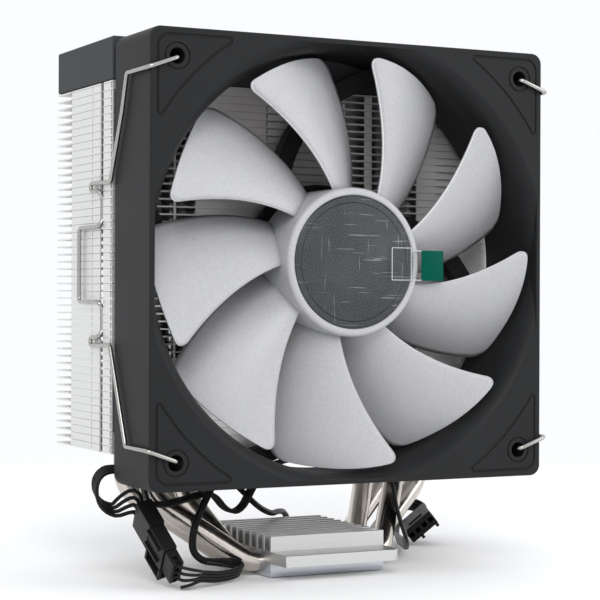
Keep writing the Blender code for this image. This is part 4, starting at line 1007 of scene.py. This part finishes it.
def clip_route(side):
    front, elbow, back = -36.25, -18.25, -9.65
    hook_y, loop_y, groove_y = 5.15, 14.35, -0.65
    out, groove = 61.0, 59.5
    tip_y, tip_z = -34.05, 52.1
    points = [
        (HOLE_PLACE, tip_y, tip_z), (HOLE_PLACE, front, tip_z), (out, front, 49), (out, -21.45, 49),
        (out, elbow, 39.5), (out, back, 21), (out, hook_y, 21.45), (out, hook_y, 19.2),
        (out, groove_y, 19.2), (groove, groove_y, 17.2), (groove, groove_y, 11.4),
        (out, groove_y, 9.4), (out, loop_y, 9.4), (out, loop_y, -11), (out, groove_y, -11),
        (groove, groove_y, -13), (groove, groove_y, -18.8), (out, groove_y, -20.8),
        (out, hook_y, -20.8), (out, hook_y, -23.05), (out, back, -22.6), (out, -21.45, -49),
        (out, front, -49), (HOLE_PLACE, front, -tip_z), (HOLE_PLACE, tip_y, -tip_z),
    ]
    return [Vector((side * x, y, z + FAN_AXIS_Z)) for x, y, z in points]


for label, side in (("left", -1), ("right", 1)):
    piece(f"spring_wire_{label}", tube(rounded(clip_route(side), CLIP_BEND, 5), CLIP_WIRE, 4),
          [clip_steel], [f"clip_{label}"], f"{label}_clip", angle=60)

# %% [markdown]
# ## Pieces inside the motor
# The motor's bearing, windings, magnets and board, and the damping pads behind the frame,
# are seen only through gaps. The solids of the frame are detailed enough for that, so they
# stay and only get their finishes.

# %% Finishes for the solids that stay
INNER = {
    "bearing_sleeve": sleeve_bronze, "thrust_pad": nylon, "motor_label": label_foil,
    "stator_core": stamped_steel, "fan_board": board_green, "rotor_yoke": stamped_steel,
    "magnet_ring": ferrite, "rotor_shaft": shaft_steel, "shaft_clip": nylon,
}
INNER.update({f"stator_coil_{k}": coil_copper for k in range(1, 5)})
INNER.update({f"led_{k}": lamp_cream for k in range(1, 5)})
INNER.update({f"pad_{spot}": pad_rubber
              for spot in ("lower_left", "upper_left", "lower_right", "upper_right")})
for name, finish in INNER.items():
    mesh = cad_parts[name].data
    mesh.materials.clear()
    mesh.materials.append(finish.material)
print("solids with finishes:", len(INNER))

# %% [markdown]
# ## Studio
# A pale floor carries a soft contact shadow and fades into a white surround, so no
# horizon line shows. The surround lights the metal evenly; a large lamp in front, high and a
# little to the left, models the blades and the frame, and a weaker one fills from the right.

# %% Floor, surround and lamps
floor_shape = bmesh.new()
bmesh.ops.create_circle(floor_shape, cap_ends=True, segments=96, radius=2.5)
floor_mesh = bpy.data.meshes.new("floor")
bmesh.ops.translate(floor_shape, verts=floor_shape.verts, vec=(0, 0, -0.0003))
floor_shape.to_mesh(floor_mesh)
floor_shape.free()
floor = bpy.data.objects.new("floor", floor_mesh)
bpy.context.scene.collection.objects.link(floor)
floor_paint = Finish("floor_paint", (0.95, 0.95, 0.95), 0.9)
reach = floor_paint.node("ShaderNodeVectorMath", {"operation": "LENGTH"},
                         {0: floor_paint.place()}, "Value")
floor_paint.set("Alpha", 1 - floor_paint.ramp(reach, 0.12, 0.42))
floor_mesh.materials.append(floor_paint.material)

world = bpy.data.worlds.new("studio")
world.use_nodes = True
surround = world.node_tree.nodes["Background"]
surround.inputs["Color"].default_value = (0.97, 0.98, 1.0, 1.0)
surround.inputs["Strength"].default_value = 1.0
bpy.context.scene.world = world


def lamp(name, place, size, power):
    data = bpy.data.lights.new(name, "AREA")
    data.size = size
    data.energy = power
    obj = bpy.data.objects.new(name, data)
    obj.location = place
    obj.rotation_euler = (Vector((0, 0, 0.08)) - Vector(place)).to_track_quat("-Z", "Y").to_euler()
    bpy.context.scene.collection.objects.link(obj)


lamp("key", (-0.5, -1.2, 0.95), 0.7, 9)
lamp("fill", (0.9, -0.8, 0.5), 0.8, 4)
